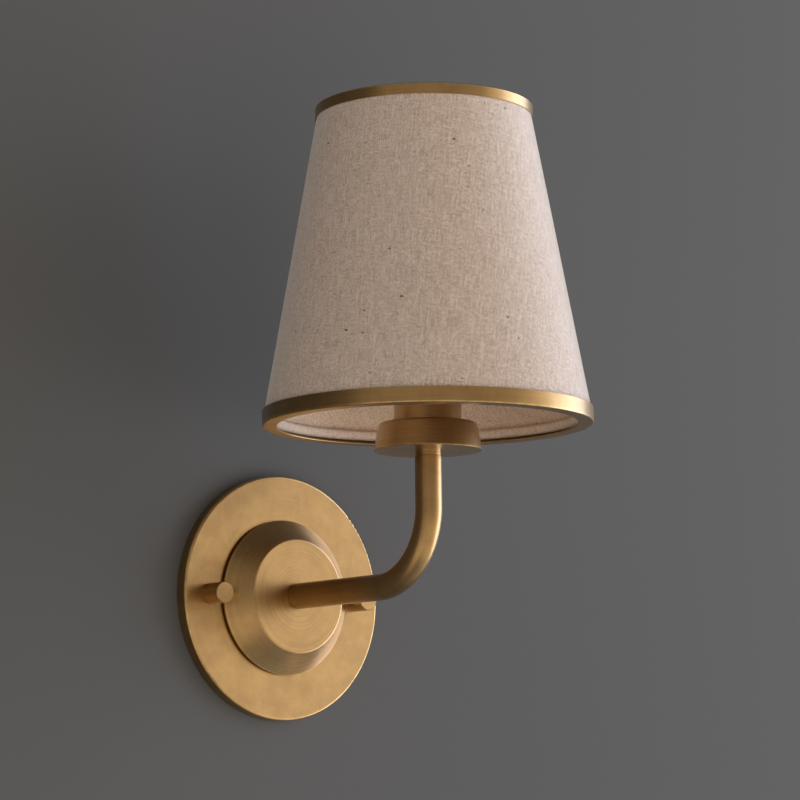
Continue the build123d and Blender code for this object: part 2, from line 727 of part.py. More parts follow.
def spider_arm(number):
    """One straight wire from the bottom wire up to the fitter ring."""
    angle = radians(ARM_ANGLE + number * 360 / ARM_COUNT)
    outward = Vector(cos(angle), sin(angle), 0)
    middle = Vector(0, -PROJECTION, 0)
    start = middle + outward * low_wire_circle + Vector(0, 0, low_wire_height)
    end = middle + outward * (FITTER_RING_RADIUS - WIRE_RADIUS) + Vector(0, 0, fitter_middle)
    with BuildPart() as arm:
        with BuildSketch(Plane(start, z_dir=end - start)):
            Circle(WIRE_RADIUS)
        extrude(amount=(end - start).length)
        add(bottom_wire.part, mode=Mode.SUBTRACT)
        add(fitter_ring.part, mode=Mode.SUBTRACT)
        with BuildSketch(at_height(lower_ring_top)):
            Circle(FITTER_RING_RADIUS)
        extrude(amount=-2 * FITTER_RING_THICKNESS, mode=Mode.SUBTRACT)
        with BuildSketch(at_height(fitter_top)):
            Circle(FITTER_RING_RADIUS)
        extrude(amount=2 * FITTER_RING_THICKNESS, mode=Mode.SUBTRACT)
    return arm


spider_arms = [spider_arm(number) for number in range(ARM_COUNT)]
for number, arm in enumerate(spider_arms):
    finish(arm, f"spider_arm_{number + 1}")

hem_low = SHADE_BOTTOM + HEM_GAP
hem_high = hem_low + HEM_HEIGHT
hem_inside = low_wire_circle - WIRE_RADIUS - HEM_THICKNESS
with BuildPart() as shade_hem:
    hem_top_radius = cover_radius(hem_high) - inside_depth
    revolve(
        outline(
            LAMP,
            (hem_inside, hem_low),
            (cover_radius(cover_low) - inside_depth, hem_low),
            (cover_radius(cover_low) - inside_depth, cover_low),
            (hem_top_radius, hem_high),
            (hem_top_radius - HEM_THICKNESS, hem_high),
            (hem_inside, low_wire_height + WIRE_RADIUS),
        ),
        axis=LAMP_AXIS,
    )
    add(bottom_wire.part, mode=Mode.SUBTRACT)
    for arm in spider_arms:
        add(arm.part, mode=Mode.SUBTRACT)
finish(shade_hem, "shade_hem")

# ---------------------------------------------------------------- wiring

block_front = BLOCK_BACK + BLOCK_DEPTH
entry_depth = BLOCK_BACK + BLOCK_DEPTH / 2
block_middle_x = POLE_PITCH / 2
with BuildPart() as terminal_block:
    with BuildSketch(at_wall(BLOCK_BACK)):
        with Locations((block_middle_x, BLOCK_TOP - BLOCK_HEIGHT / 2)):
            RectangleRounded(BLOCK_WIDTH, BLOCK_HEIGHT, BLOCK_CORNER)
    extrude(amount=BLOCK_DEPTH)
    with BuildSketch(at_wall(block_front)):
        with Locations((block_middle_x, BLOCK_TOP - BLOCK_HEIGHT / 2)):
            with GridLocations(POLE_PITCH, 0, POLE_COUNT, 1):
                Circle(POLE_SCREW_RADIUS)
    extrude(amount=-POLE_HOLE_DEPTH, mode=Mode.SUBTRACT)
finish(terminal_block, "terminal_block")

with BuildPart() as terminal_screws:
    with BuildSketch(at_wall(block_front - POLE_HOLE_DEPTH)):
        with Locations((block_middle_x, BLOCK_TOP - BLOCK_HEIGHT / 2)):
            with GridLocations(POLE_PITCH, 0, POLE_COUNT, 1):
                Circle(POLE_SCREW_RADIUS - POLE_SCREW_CLEARANCE)
    extrude(amount=POLE_SCREW_HEIGHT)
finish(terminal_screws, "terminal_screws")


def lead_points(side):
    """Route of one lead from the terminal block through the arm to the lampholder."""
    spread = side * LEAD_SPREAD
    return [
        (side * POLE_PITCH / 2, -entry_depth, BLOCK_TOP),
        (side * POLE_PITCH / 2, -entry_depth, 0),
        (spread, -nipple_low - LEAD_INTO_NIPPLE, 0),
        (spread, -PROJECTION, 0),
        (spread, -PROJECTION, holder_floor + LEAD_ABOVE_FLOOR),
        (side * INSERT_LEAD_SPREAD, -PROJECTION, holder_split - LEAD_BELOW_SPLIT),
        (side * INSERT_LEAD_SPREAD, -PROJECTION, holder_split + LEAD_INTO_INSERT),
    ]


lead_radii = [LEAD_BEND, 2 * LEAD_BEND, ARM_BEND, LEAD_BEND, LEAD_BEND]


def lead(side):
    """An insulated lead: straight runs joined by tangent arcs."""
    with BuildLine() as path:
        FilletPolyline(*lead_points(side), radius=lead_radii)
    route = path.wires()[0]
    with BuildPart() as wire:
        with BuildSketch(Plane(route @ 0, z_dir=route % 0)):
            Circle(LEAD_RADIUS)
        sweep(path=route)
    straight_volume = route.length * pi * LEAD_RADIUS**2
    print("lead length", round(route.length, 1), "volume ratio", round(wire.part.volume / straight_volume, 4))
    return wire


finish(lead(-1), "lead_live")
finish(lead(1), "lead_neutral")

earth_pole = 1.5 * POLE_PITCH
lug_back = arm_inside - WASHER_THICKNESS
with BuildPart() as earth_lug:
    with BuildSketch(at_wall(lug_back)):
        Circle(WASHER_RADIUS)
        with Locations((earth_pole / 2, -LUG_DROP)):
            Rectangle(earth_pole, 2 * (LEAD_RADIUS + LUG_BARREL_WALL))
        with Locations((earth_pole, -LUG_DROP)):
            Circle(LEAD_RADIUS + LUG_BARREL_WALL)
        Circle(NIPPLE_RADIUS, mode=Mode.SUBTRACT)
    extrude(amount=-LUG_THICKNESS)
    with BuildSketch(at_wall(nut_front)):
        with Locations((earth_pole, -LUG_DROP)):
            Circle(LEAD_RADIUS + LUG_BARREL_WALL)
            Circle(LEAD_RADIUS, mode=Mode.SUBTRACT)
    extrude(amount=-LUG_BARREL)
finish(earth_lug, "earth_lug")

with BuildPart() as earth_lead:
    with BuildLine() as earth_route:
        FilletPolyline(
            (earth_pole, -nut_front, -LUG_DROP),
            (earth_pole, -entry_depth, -LUG_DROP),
            (earth_pole, -entry_depth, BLOCK_TOP),
            radius=LEAD_BEND,
        )
    with BuildSketch(at_wall(nut_front)):
        with Locations((earth_pole, -LUG_DROP)):
            Circle(LEAD_RADIUS)
    sweep(path=earth_route.line)
finish(earth_lead, "lead_earth")
print("lead radii", lead_radii)
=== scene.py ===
"""Fabric shade wall light: the linen shade, its cloth, and every finish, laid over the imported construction.

The origin is the middle of the backplate's back. The wall is the plane y = 0, the light stands out along
-Y, and +Z is up. All lengths are metres. The shade's axis is the vertical line over the fitter cup.
"""

from math import cos, hypot, pi, radians, sin

import bpy
import numpy as np
from bpy.props import FloatProperty, FloatVectorProperty, PointerProperty
from mathutils import Matrix, Vector


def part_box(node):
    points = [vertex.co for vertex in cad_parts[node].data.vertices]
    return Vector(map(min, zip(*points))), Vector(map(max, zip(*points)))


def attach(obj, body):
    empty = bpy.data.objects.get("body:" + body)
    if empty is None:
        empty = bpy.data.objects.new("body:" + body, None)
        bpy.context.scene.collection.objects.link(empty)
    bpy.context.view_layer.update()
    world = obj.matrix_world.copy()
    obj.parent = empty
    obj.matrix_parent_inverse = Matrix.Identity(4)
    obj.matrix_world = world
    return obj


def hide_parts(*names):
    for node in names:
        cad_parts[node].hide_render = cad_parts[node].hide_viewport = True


bl_info = {
    "name": "Fabric Shade Wall Light",
    "version": (1, 0, 0),
    "blender": (4, 5, 0),
    "location": "3D View > Sidebar > Wall Light",
    "description": "Dresses a brass wall light with its linen shade, its finishes and a plain studio",
    "category": "Object",
}

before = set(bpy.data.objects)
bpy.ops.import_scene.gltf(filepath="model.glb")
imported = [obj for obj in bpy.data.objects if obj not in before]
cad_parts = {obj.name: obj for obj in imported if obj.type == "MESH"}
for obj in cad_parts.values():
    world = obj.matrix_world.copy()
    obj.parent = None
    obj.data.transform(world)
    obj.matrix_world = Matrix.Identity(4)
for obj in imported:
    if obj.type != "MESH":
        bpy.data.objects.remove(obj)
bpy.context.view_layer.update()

MM = 0.001
FULL_TURN = 2 * pi
RIM_BAND = 0.1 * MM  # how near a rim a point still counts as on it
CREASE = radians(35)  # edges that turn by more than this stay hard
FINE_CREASE = radians(50)  # the same on pieces with fine roundings or threads

# ---------------------------------------------------------------- places read from the frame


def middle(node):
    """Middle of a node's box."""
    low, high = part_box(node)
    return (low + high) / 2


def reach_and_height(node):
    """Distance from the lamp's axis and height of each of a node's points, as two arrays."""
    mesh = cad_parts[node].data
    points = np.empty(len(mesh.vertices) * 3)
    mesh.vertices.foreach_get("co", points)
    x, y, z = points.reshape(-1, 3).T
    return np.hypot(x - LAMP_AXIS.x, y - LAMP_AXIS.y), z


def cone_edge(node):
    """Largest radius of a turned node at its lowest and its highest rim, and the heights of both."""
    reach, height = reach_and_height(node)
    low, high = height.min(), height.max()
    return reach[height < low + RIM_BAND].max(), reach[height > high - RIM_BAND].max(), low, high


def ring_edges(node):
    """Inner and outer radius and lowest and highest level of a ring about the lamp's axis."""
    reach, height = reach_and_height(node)
    return reach.min(), reach.max(), height.min(), height.max()


def widest_level(node):
    """Height at which a turned node is widest."""
    reach, height = reach_and_height(node)
    return height[reach.argmax()]


LAMP_AXIS = middle("socket_husk")
COVER_LOW_RADIUS, COVER_HIGH_RADIUS, COVER_LOW, COVER_HIGH = cone_edge("shade_linen_cover")
LINING_LOW_RADIUS, _, LINING_LOW, LINING_HIGH = cone_edge("shade_linen_lining")
COVER_SLOPE = (COVER_LOW_RADIUS - COVER_HIGH_RADIUS) / (COVER_HIGH - COVER_LOW)
HEM_LOW, HEM_HIGH = (corner.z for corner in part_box("shade_hem"))
WIRE_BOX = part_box("shade_bottom_wire")
WIRE_RADIUS = (WIRE_BOX[1].z - WIRE_BOX[0].z) / 2
WIRE_HEIGHT = (WIRE_BOX[1].z + WIRE_BOX[0].z) / 2
WIRE_CIRCLE = WIRE_BOX[1].x - WIRE_RADIUS
SKIRT_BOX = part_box("lampholder_skirt")
BULB_CAP_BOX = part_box("bulb_cap")
HUSK_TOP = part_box("socket_husk")[1].z
PLATE_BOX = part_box("backplate")
HUB_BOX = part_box("hub")
CUP_RIM = widest_level("fitter_cup")
ARM_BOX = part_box("arm_tube")
BEND_RADIUS = 36 * MM  # of the arm's middle line
TUBE_WALL = 1.1 * MM
TUBE_EDGE = 0.35 * MM  # rounding of the tube's ends
RING_WALL = 0.5 * MM
RING_LIP = 0.8 * MM
RING_FOLD = 0.9 * MM  # rounding where the bottom ring's band turns in to its lip
TOP_RING_FOLD = 0.5 * MM
LIP_EDGE = 0.3 * MM  # rounding of a lip's edges
CUT_EDGE = 0.15 * MM  # rounding of the sheet's cut edges

# The camera that sees the light as the photograph does.
CAMERA_PLACE = Vector((-918.14, -1157.64, -117.47)) * MM
CAMERA_YAW = radians(40.8475)
CAMERA_PITCH = radians(8.3273)
CAMERA_ROLL = radians(-0.6495)
CAMERA_LENS = 134.39  # millimetres, on a sensor 36 wide
CAMERA_SENSOR = 36.0


# ---------------------------------------------------------------- what a user can change


class WallLightCloth(bpy.types.PropertyGroup):
    """Sizes and colours of the shade's cloth."""

    thickness: FloatProperty(
        name="Cloth Thickness", description="Thickness of the linen", default=0.3 * MM, unit="LENGTH",
        precision=5,
    )
    overlap: FloatProperty(
        name="Seam Overlap", description="How far the rolled cloth laps over itself", default=9 * MM,
        unit="LENGTH",
    )
    seam_turn: FloatProperty(
        name="Seam Direction", description="Where the seam lies, round from +X", default=pi / 2,
        subtype="ANGLE",
    )
    level_turn: FloatProperty(
        name="Level Grain", description="Where the threads run level, round from +X", default=radians(192),
        subtype="ANGLE",
    )
    thread_pitch: FloatProperty(
        name="Thread Pitch", description="From one thread to the next", default=0.5 * MM, unit="LENGTH",
        precision=5,
    )
    slack: FloatProperty(
        name="Slack", description="Height of the cloth's soft waves", default=0.05 * MM, unit="LENGTH",
        precision=5,
    )
    hem_wave: FloatProperty(
        name="Hem Wave", description="Unevenness of the hem's lower edge", default=0.12 * MM, unit="LENGTH",
        precision=5,
    )
    light_colour: FloatVectorProperty(
        name="Thread Colour", description="Pale flax thread", default=(1.0, 0.845, 0.750), subtype="COLOR"
    )
    dark_colour: FloatVectorProperty(
        name="Shaded Thread", description="Flax thread between the raised ones", default=(0.56, 0.415, 0.33),
        subtype="COLOR",
    )
    speck_colour: FloatVectorProperty(
        name="Speck Colour", description="Bits of husk in the thread", default=(0.13, 0.072, 0.040),
        subtype="COLOR",
    )


class WallLightBrass(bpy.types.PropertyGroup):
    """Colours and wear of the aged brass."""

    bright_colour: FloatVectorProperty(
        name="Rubbed Brass", description="Brass where it is rubbed", default=(0.565, 0.365, 0.138),
        subtype="COLOR",
    )
    dark_colour: FloatVectorProperty(
        name="Aged Brass", description="Brass where it has darkened", default=(0.20, 0.093, 0.026),
        subtype="COLOR",
    )
    roughness: FloatProperty(
        name="Roughness", description="Roughness of the satin surface", default=0.35, min=0, max=1,
        subtype="FACTOR",
    )
    stroke_width: FloatProperty(
        name="Brush Stroke Width", description="Width of one brush mark", default=0.16 * MM, unit="LENGTH",
        precision=5,
    )
    stroke_length: FloatProperty(
        name="Brush Stroke Length", description="Length of one brush mark", default=16 * MM, unit="LENGTH"
    )
    blotch: FloatProperty(
        name="Patina Size", description="Size of the patina's soft blotches", default=11 * MM, unit="LENGTH"
    )


class WallLightStage(bpy.types.PropertyGroup):
    """The wall, the floor and the lights."""

    wall_colour: FloatVectorProperty(
        name="Wall Colour", description="Soft grey painted wall", default=(0.115, 0.115, 0.115),
        subtype="COLOR",
    )
    floor_drop: FloatProperty(
        name="Floor Depth", description="Floor below the middle of the backplate", default=1.6, unit="LENGTH"
    )
    floor_colour: FloatVectorProperty(
        name="Floor Colour", description="Pale painted floor", default=(0.80, 0.80, 0.80), subtype="COLOR"
    )
    wall_reach: FloatProperty(name="Wall Size", description="Width of the wall", default=14.0, unit="LENGTH")
    floor_reach: FloatProperty(
        name="Floor Size", description="Width of the floor", default=2.2, unit="LENGTH"
    )
    key_distance: FloatProperty(
        name="Key Distance", description="Distance of the key light", default=2.2, unit="LENGTH"
    )
    key_width: FloatProperty(
        name="Key Width", description="Width of the key light", default=1.7, unit="LENGTH"
    )
    key_height: FloatProperty(
        name="Key Height", description="Height of the key light", default=2.6, unit="LENGTH"
    )
    key_turn: FloatProperty(
        name="Key Direction", description="Turn of the key light to the right, from straight out of the wall",
        default=radians(75), subtype="ANGLE",
    )
    key_rise: FloatProperty(
        name="Key Rise", description="Angle of the key light over the horizon", default=radians(2),
        subtype="ANGLE",
    )
    key_level: FloatProperty(
        name="Key Level", description="How bright white cloth facing the key light becomes", default=0.78
    )
    lower_level: FloatProperty(
        name="Lower Level", description="Brightness of the soft light from well below the horizon",
        default=1.6,
    )
    fill_level: FloatProperty(
        name="Fill Level", description="Brightness of the soft light from all round the horizon", default=1.15
    )
    upper_level: FloatProperty(
        name="Upper Level", description="Brightness of the light from just over the horizon", default=0.45
    )
    overhead_level: FloatProperty(
        name="Overhead Level", description="Brightness of the light from straight above", default=0.12
    )
    side_level: FloatProperty(
        name="Side Level", description="Brightness of the broad soft light around the key light", default=0.78
    )
    side_turn: FloatProperty(
        name="Side Direction",
        description="Turn of the broad light to the right, from straight out of the wall",
        default=radians(58), subtype="ANGLE",
    )
    fill_colour: FloatVectorProperty(
        name="Fill Colour", description="Slight warmth of the soft light", default=(1.0, 0.90, 0.79),
        subtype="COLOR",
    )
    key_colour: FloatVectorProperty(
        name="Key Colour", description="Slight coolness of the key light", default=(0.90, 1.08, 1.38),
        subtype="COLOR",
    )


# ---------------------------------------------------------------- meshes


def grid_faces(rows, columns, wrap_rows=False, wrap_columns=False):
    """Quads over a grid of points numbered row by row. Wrapping joins the last row or column to the first."""
    row = np.arange(rows if wrap_rows else rows - 1)[:, None]
    column = np.arange(columns if wrap_columns else columns - 1)[None, :]
    next_row, next_column = (row + 1) % rows, (column + 1) % columns
    corners = (row * columns + column, next_row * columns + column,
               next_row * columns + next_column, row * columns + next_column)
    return np.stack(np.broadcast_arrays(*corners), -1).reshape(-1, 4)


def make_piece(name, points, faces, flat=None, crease=CREASE):
    """A mesh object at the origin from arrays of points and quads.

    Flat gives each corner's place on the cut cloth.
    """
    mesh = bpy.data.meshes.new(name)
    mesh.from_pydata(points.reshape(-1, 3), [], faces)
    if flat is not None:
        layer = mesh.uv_layers.new(name="cloth")
        layer.data.foreach_set("uv", flat.reshape(-1, 2)[faces.ravel()].ravel())
    mesh.polygons.foreach_set("use_smooth", np.ones(len(mesh.polygons), bool))
    mesh.set_sharp_from_angle(angle=crease)
    mesh.validate()
    mesh.update()
    piece = bpy.data.objects.new(name, mesh)
    bpy.context.scene.collection.objects.link(piece)
    return piece


def round_axis(reach, turn, height):
    """Points at a reach from the lamp's axis, at a turn round it and at a height, as one array."""
    x = LAMP_AXIS.x + reach * np.cos(turn)
    y = LAMP_AXIS.y + reach * np.sin(turn)
    return np.stack(np.broadcast_arrays(x, y, height), -1)


def smooth_step(low, high, value):
    """0 below low, 1 above high, and the cubic 3t^2 - 2t^3 between them."""
    share = np.clip((value - low) / (high - low), 0, 1)
    return share * share * (3 - 2 * share)


INNER_WEAVE = 0.5  # metres between the outer and the inner face's places on the flat cloth
FLAT_START = 1.0  # metres that keep all flat places above nothing


def rolled_cloth(name, low_radius, slope, low, high, cloth):
    """A sheet rolled once round the cone and lapped over itself at the seam.

    The two parameters are the turn round the axis, from under the lap to the lap's free edge, and the
    place along the closed section of the sheet: up its outer face, over the top edge, down its inner face.
    The reach is the cone's radius at the height, less one thickness on the inner face and one more under
    the lap, which fades over the next lap's width, plus slow sine waves that die out at every edge. Flat
    places are those of the cone rolled out: distance from the apex along the slope, at an angle of the turn
    times the sine of the cone's half angle, turned so that the threads run level at one chosen direction.
    """
    turns, heights = 361, 93
    overlap = cloth.overlap / low_radius
    span = FULL_TURN + overlap
    turn = cloth.seam_turn + np.linspace(0, span, turns)[:, None]
    progress = (turn - cloth.seam_turn) / span
    height = np.linspace(low, high, heights)
    section = np.concatenate([height, height[::-1]])[None, :]
    facing = np.concatenate([np.zeros(heights), np.ones(heights)])[None, :]
    tucked = 1 - smooth_step(overlap, 2 * overlap, progress * span)
    share = (section - low) / (high - low)
    waves = (np.sin(5 * turn + 9 * share) + 0.6 * np.sin(11 * turn - 14 * share + 1.7)
             + 0.4 * np.sin(17 * share + 3 * turn))
    waves = cloth.slack * waves * np.sin(pi * share) ** 0.5 * np.sin(pi * progress) ** 0.25
    depth = cloth.thickness * (facing + tucked)
    reach = low_radius - slope * (section - low) - depth + waves * 0.5 - cloth.slack
    points = round_axis(reach, turn, section)

    half_angle_sine = slope / hypot(1, slope)
    apex = low_radius / slope + low
    ray = (apex - section) * hypot(1, slope)
    spread = (turn - cloth.level_turn) * half_angle_sine
    flat = np.stack([ray * np.sin(spread), -ray * np.cos(spread)], -1)
    flat = flat + facing[..., None] * INNER_WEAVE + FLAT_START

    faces = grid_faces(turns, 2 * heights, wrap_columns=True)
    column = np.arange(heights - 1)
    mirror = 2 * heights - 1 - column
    start_cap = np.stack([column, column + 1, mirror - 1, mirror], -1)
    end_cap = start_cap[:, ::-1] + (turns - 1) * 2 * heights
    faces = np.concatenate([faces, start_cap, end_cap])
    piece = make_piece(name, points, faces, np.broadcast_to(flat, points.shape[:2] + (2,)))

    fan = span * half_angle_sine
    long_ray = (apex - low) * hypot(1, slope)
    short_ray = (apex - high) * hypot(1, slope)
    width = 2 * long_ray * sin(fan / 2)
    length = long_ray - short_ray * cos(fan / 2)
    area = (long_ray**2 - short_ray**2) * fan / 2
    return piece, (width, length), area


LINING_GAP = 2.3  # from the lining's outside to the hem's middle line, in thicknesses
WIRE_GAP = 1.1  # from the wire to the hem's middle line, in thicknesses


def hem_profile(cloth):
    """Middle line of the hem's tape, as reach and height.

    It goes from the crease on the lining, over the wire, under it and back up behind it: a chain of points
    smoothed by a Catmull-Rom curve, whose every span is the cubic through four neighbours.
    """
    steps, end_margin = 41, 1e-6
    lining_reach = LINING_LOW_RADIUS - COVER_SLOPE * (HEM_HIGH - LINING_LOW) - LINING_GAP * cloth.thickness
    inner_reach = WIRE_CIRCLE - WIRE_RADIUS - WIRE_GAP * cloth.thickness
    knots = np.array([
        (lining_reach, HEM_HIGH),
        (lining_reach - 0.5 * MM, HEM_HIGH - 0.35 * MM),
        (inner_reach + 0.35 * MM, WIRE_HEIGHT + 0.85 * WIRE_RADIUS),
        (inner_reach, WIRE_HEIGHT - 0.2 * WIRE_RADIUS),
        (inner_reach + 0.35 * MM, HEM_LOW + 1.0 * MM),
        (inner_reach + 1.1 * MM, HEM_LOW + 0.3 * MM),
        (inner_reach + 2.0 * MM, HEM_LOW + 0.25 * MM),
        (inner_reach + 2.6 * MM, HEM_LOW + 0.9 * MM),
        (inner_reach + 2.65 * MM, HEM_LOW + 1.6 * MM),
    ])
    padded = np.concatenate([2 * knots[:1] - knots[1:2], knots, 2 * knots[-1:] - knots[-2:-1]])
    share = np.linspace(0, len(knots) - 1 - end_margin, steps)
    span = share.astype(int)
    t = (share - span)[:, None]
    a, b, c, d = (padded[span + step] for step in range(4))
    return 0.5 * (2 * b + (c - a) * t + (2 * a - 5 * b + 4 * c - d) * t**2 + (3 * b - a - 3 * c + d) * t**3)


def hem_tape(name, cloth):
    """The narrow tape folded over the bottom wire, as a closed section carried once round the shade.

    The section is the middle line of the fold moved half a thickness to each side along its normal. Each
    turn shifts the section's lower part by slow sine waves, because the tape is laid by hand.
    """
    line = hem_profile(cloth)
    along = np.gradient(line, axis=0)
    along /= np.linalg.norm(along, axis=1, keepdims=True)
    side = np.stack([along[:, 1], -along[:, 0]], -1) * cloth.thickness * 0.5
    section = np.concatenate([line + side, (line - side)[::-1]])
    turns = 420
    turn = np.linspace(0, FULL_TURN, turns, endpoint=False)[:, None]
    wave = 0.5 * np.sin(7 * turn + 0.4) + 0.3 * np.sin(19 * turn + 1.1) + 0.2 * np.sin(43 * turn)
    low_share = smooth_step(HEM_HIGH - 0.5 * MM, HEM_LOW + 1.2 * MM, section[:, 1])[None, :]
    reach = section[None, :, 0] + cloth.hem_wave * wave * low_share
    height = section[None, :, 1] + cloth.hem_wave * wave * low_share * 0.6
    points = round_axis(reach, turn, height)
    run = np.concatenate([[0], np.cumsum(np.linalg.norm(np.diff(line, axis=0), axis=1))])
    run = np.concatenate([run, run[::-1]])[None, :]
    faces = grid_faces(turns, len(section), wrap_rows=True, wrap_columns=True)
    flat = np.stack(np.broadcast_arrays(turn * WIRE_CIRCLE, run), -1)
    return make_piece(name, points, faces, flat)


def folded_ring(name, corners):
    """A ring of folded sheet about the lamp's axis.

    The section is a closed chain of corners, as reach, height and rounding. It goes up the outside, in over
    the top, down the inside and out along the bottom. Each corner C is the curve (1-t)^2 P + 2t(1-t) C +
    t^2 Q, where P and Q lie one rounding before and after it, and a short straight lead at both its ends
    keeps the shading of the flat stretches flat.
    """
    turns, bend_steps, lead = 360, 7, 1.15
    corners = np.array(corners)
    spots, rounding = corners[:, None, :2], corners[:, None, 2:]
    back = np.roll(spots, 1, axis=0) - spots
    ahead = np.roll(spots, -1, axis=0) - spots
    start = rounding * back / np.linalg.norm(back, axis=-1, keepdims=True)
    end = rounding * ahead / np.linalg.norm(ahead, axis=-1, keepdims=True)
    t = np.linspace(0, 1, bend_steps)[None, :, None]
    bend = spots + (1 - t) ** 2 * start + t**2 * end
    section = np.concatenate([spots + lead * start, bend, spots + lead * end], axis=1).reshape(-1, 2)
    turn = np.linspace(0, FULL_TURN, turns, endpoint=False)[:, None]
    points = round_axis(section[None, :, 0], turn, section[None, :, 1])
    return make_piece(name, points, grid_faces(turns, len(section), wrap_rows=True, wrap_columns=True))


def bent_tube(name, radius, start, top):
    """The arm's tube, from its start on the hub to its top under the cup.

    The middle line lies in the plane x = 0. It runs straight out of the hub, turns up through the quarter
    circle y = c + r - r sin a, z = r - r cos a, where c is the lamp's axis and r the bend's radius, and ends
    straight. Each place on it carries a circle in the plane across its direction. The circles go along the
    outside, where the last few shrink on a quarter circle to round the end, and come back along the bore.
    """
    around, bend_steps, edge_steps = 72, 49, 6
    angle = np.linspace(0, pi / 2, bend_steps)
    bend_y = LAMP_AXIS.y + BEND_RADIUS - BEND_RADIUS * np.sin(angle)
    bend_z = BEND_RADIUS - BEND_RADIUS * np.cos(angle)
    edge = np.linspace(0, pi / 2, edge_steps)
    sunk, shrunk = TUBE_EDGE * (1 - np.sin(edge)), TUBE_EDGE * (1 - np.cos(edge))
    y = np.concatenate([start - sunk[::-1], bend_y, np.full(len(edge), LAMP_AXIS.y)])
    z = np.concatenate([np.zeros(len(edge)), bend_z, top - sunk])
    lean = np.concatenate([np.zeros(len(edge)), angle, np.full(len(edge), pi / 2)])
    reach = radius - np.concatenate([shrunk[::-1], np.zeros(len(angle)), shrunk])
    y, z, lean = (np.concatenate([part, part[::-1]]) for part in (y, z, lean))
    reach = np.concatenate([reach, np.full(len(reach), radius - TUBE_WALL)])
    turn = np.linspace(0, FULL_TURN, around, endpoint=False)[None, :]
    across, upright = reach[:, None] * np.cos(turn), reach[:, None] * np.sin(turn)
    y, z, lean = (part[:, None] for part in (y, z, lean))
    points = np.stack([across, y - upright * np.sin(lean), z - upright * np.cos(lean)], -1)
    faces = grid_faces(len(y), around, wrap_rows=True, wrap_columns=True)
    return make_piece(name, points, faces, crease=FINE_CREASE)


def threaded_sleeve(name, reach, bore, low, high, thread_low, thread_high, pitch, depth, roundness):
    """A sleeve about the lamp's axis with one helical thread on its outside.

    The outside's reach is the full radius less the depth times a power of half of one plus the cosine of
    the height's phase less the turn, so that the groove climbs one pitch per turn. The depth fades to
    nothing at both ends of the thread. The section goes up the outside, in over the rim and down the bore.
    """
    turns, steps_each_pitch, rim = 96, 10, 0.25 * MM
    steps = int((high - low) / (pitch / steps_each_pitch)) + 2
    turn = np.linspace(0, FULL_TURN, turns, endpoint=False)[:, None]
    height = np.linspace(low, high, steps)[None, :]
    phase = FULL_TURN * height / pitch - turn
    fade = smooth_step(thread_low, thread_low + pitch, height)
    fade = fade * (1 - smooth_step(thread_high - pitch, thread_high, height))
    outside = reach - depth * fade * (0.5 + 0.5 * np.cos(phase)) ** roundness
    section_height = np.concatenate([height[0], [high, high, low, low]])
    edge = np.full((turns, 1), bore)
    top_lead = np.full((turns, 1), reach - depth - rim)
    section_reach = np.concatenate([outside, top_lead, edge, edge, top_lead], axis=1)
    points = round_axis(section_reach, turn, section_height[None, :])
    faces = grid_faces(turns, len(section_height), wrap_rows=True, wrap_columns=True)
    return make_piece(name, points, faces, crease=FINE_CREASE)


# ---------------------------------------------------------------- shader building


class Graph:
    """Adds nodes to one node tree and links them. An input is a socket, a number or a tuple."""

    def __init__(self, tree):
        self.tree = tree

    def fill(self, socket, value):
        """Links a socket to another or sets its value."""
        if isinstance(value, bpy.types.NodeSocket):
            self.tree.links.new(value, socket)
        elif value is not None:
            socket.default_value = value

    def node(self, kind, inputs=(), **settings):
        """A node of a kind with its settings, and its inputs by name or by number."""
        made = self.tree.nodes.new(kind)
        for key, value in settings.items():
            setattr(made, key, value)
        for key, value in dict(inputs).items():
            self.fill(made.inputs[key], value)
        return made

    def math(self, operation, *inputs, clamp=False):
        """One Math node's result."""
        return self.node("ShaderNodeMath", enumerate(inputs), operation=operation, use_clamp=clamp).outputs[0]

    def vector(self, operation, *inputs):
        """One Vector Math node's vector."""
        return self.node("ShaderNodeVectorMath", enumerate(inputs), operation=operation).outputs[0]

    def split(self, vector):
        """The three parts of a vector."""
        return self.node("ShaderNodeSeparateXYZ", {0: vector}).outputs

    def join(self, x=0.0, y=0.0, z=0.0):
        """A vector from three parts."""
        return self.node("ShaderNodeCombineXYZ", {0: x, 1: y, 2: z}).outputs[0]

    def noise(self, vector, scale=1.0, detail=2.0, roughness=0.5):
        """Noise from 0 to 1."""
        inputs = {"Vector": vector, "Scale": scale, "Detail": detail, "Roughness": roughness}
        return self.node("ShaderNodeTexNoise", inputs).outputs[0]

    def ramp(self, value, low, high, to_low=0.0, to_high=1.0):
        """A value mapped smoothly from one range to another and held at its ends."""
        inputs = {"Value": value, "From Min": low, "From Max": high, "To Min": to_low, "To Max": to_high}
        return self.node("ShaderNodeMapRange", inputs, interpolation_type="SMOOTHSTEP").outputs[0]

    def mix(self, share, first, second):
        """Two colours mixed by a share."""
        made = self.node("ShaderNodeMix", data_type="RGBA")
        colours = [socket for socket in made.inputs if socket.type == "RGBA"]
        self.fill(made.inputs[0], share)
        self.fill(colours[0], first)
        self.fill(colours[1], second)
        return next(socket for socket in made.outputs if socket.type == "RGBA")

    def group(self, tree, **inputs):
        """A placed node group's outputs, with its inputs named in words joined by underscores."""
        made = self.node("ShaderNodeGroup", node_tree=tree)
        for key, value in inputs.items():
            self.fill(made.inputs[key.replace("_", " ").title()], value)
        return made.outputs


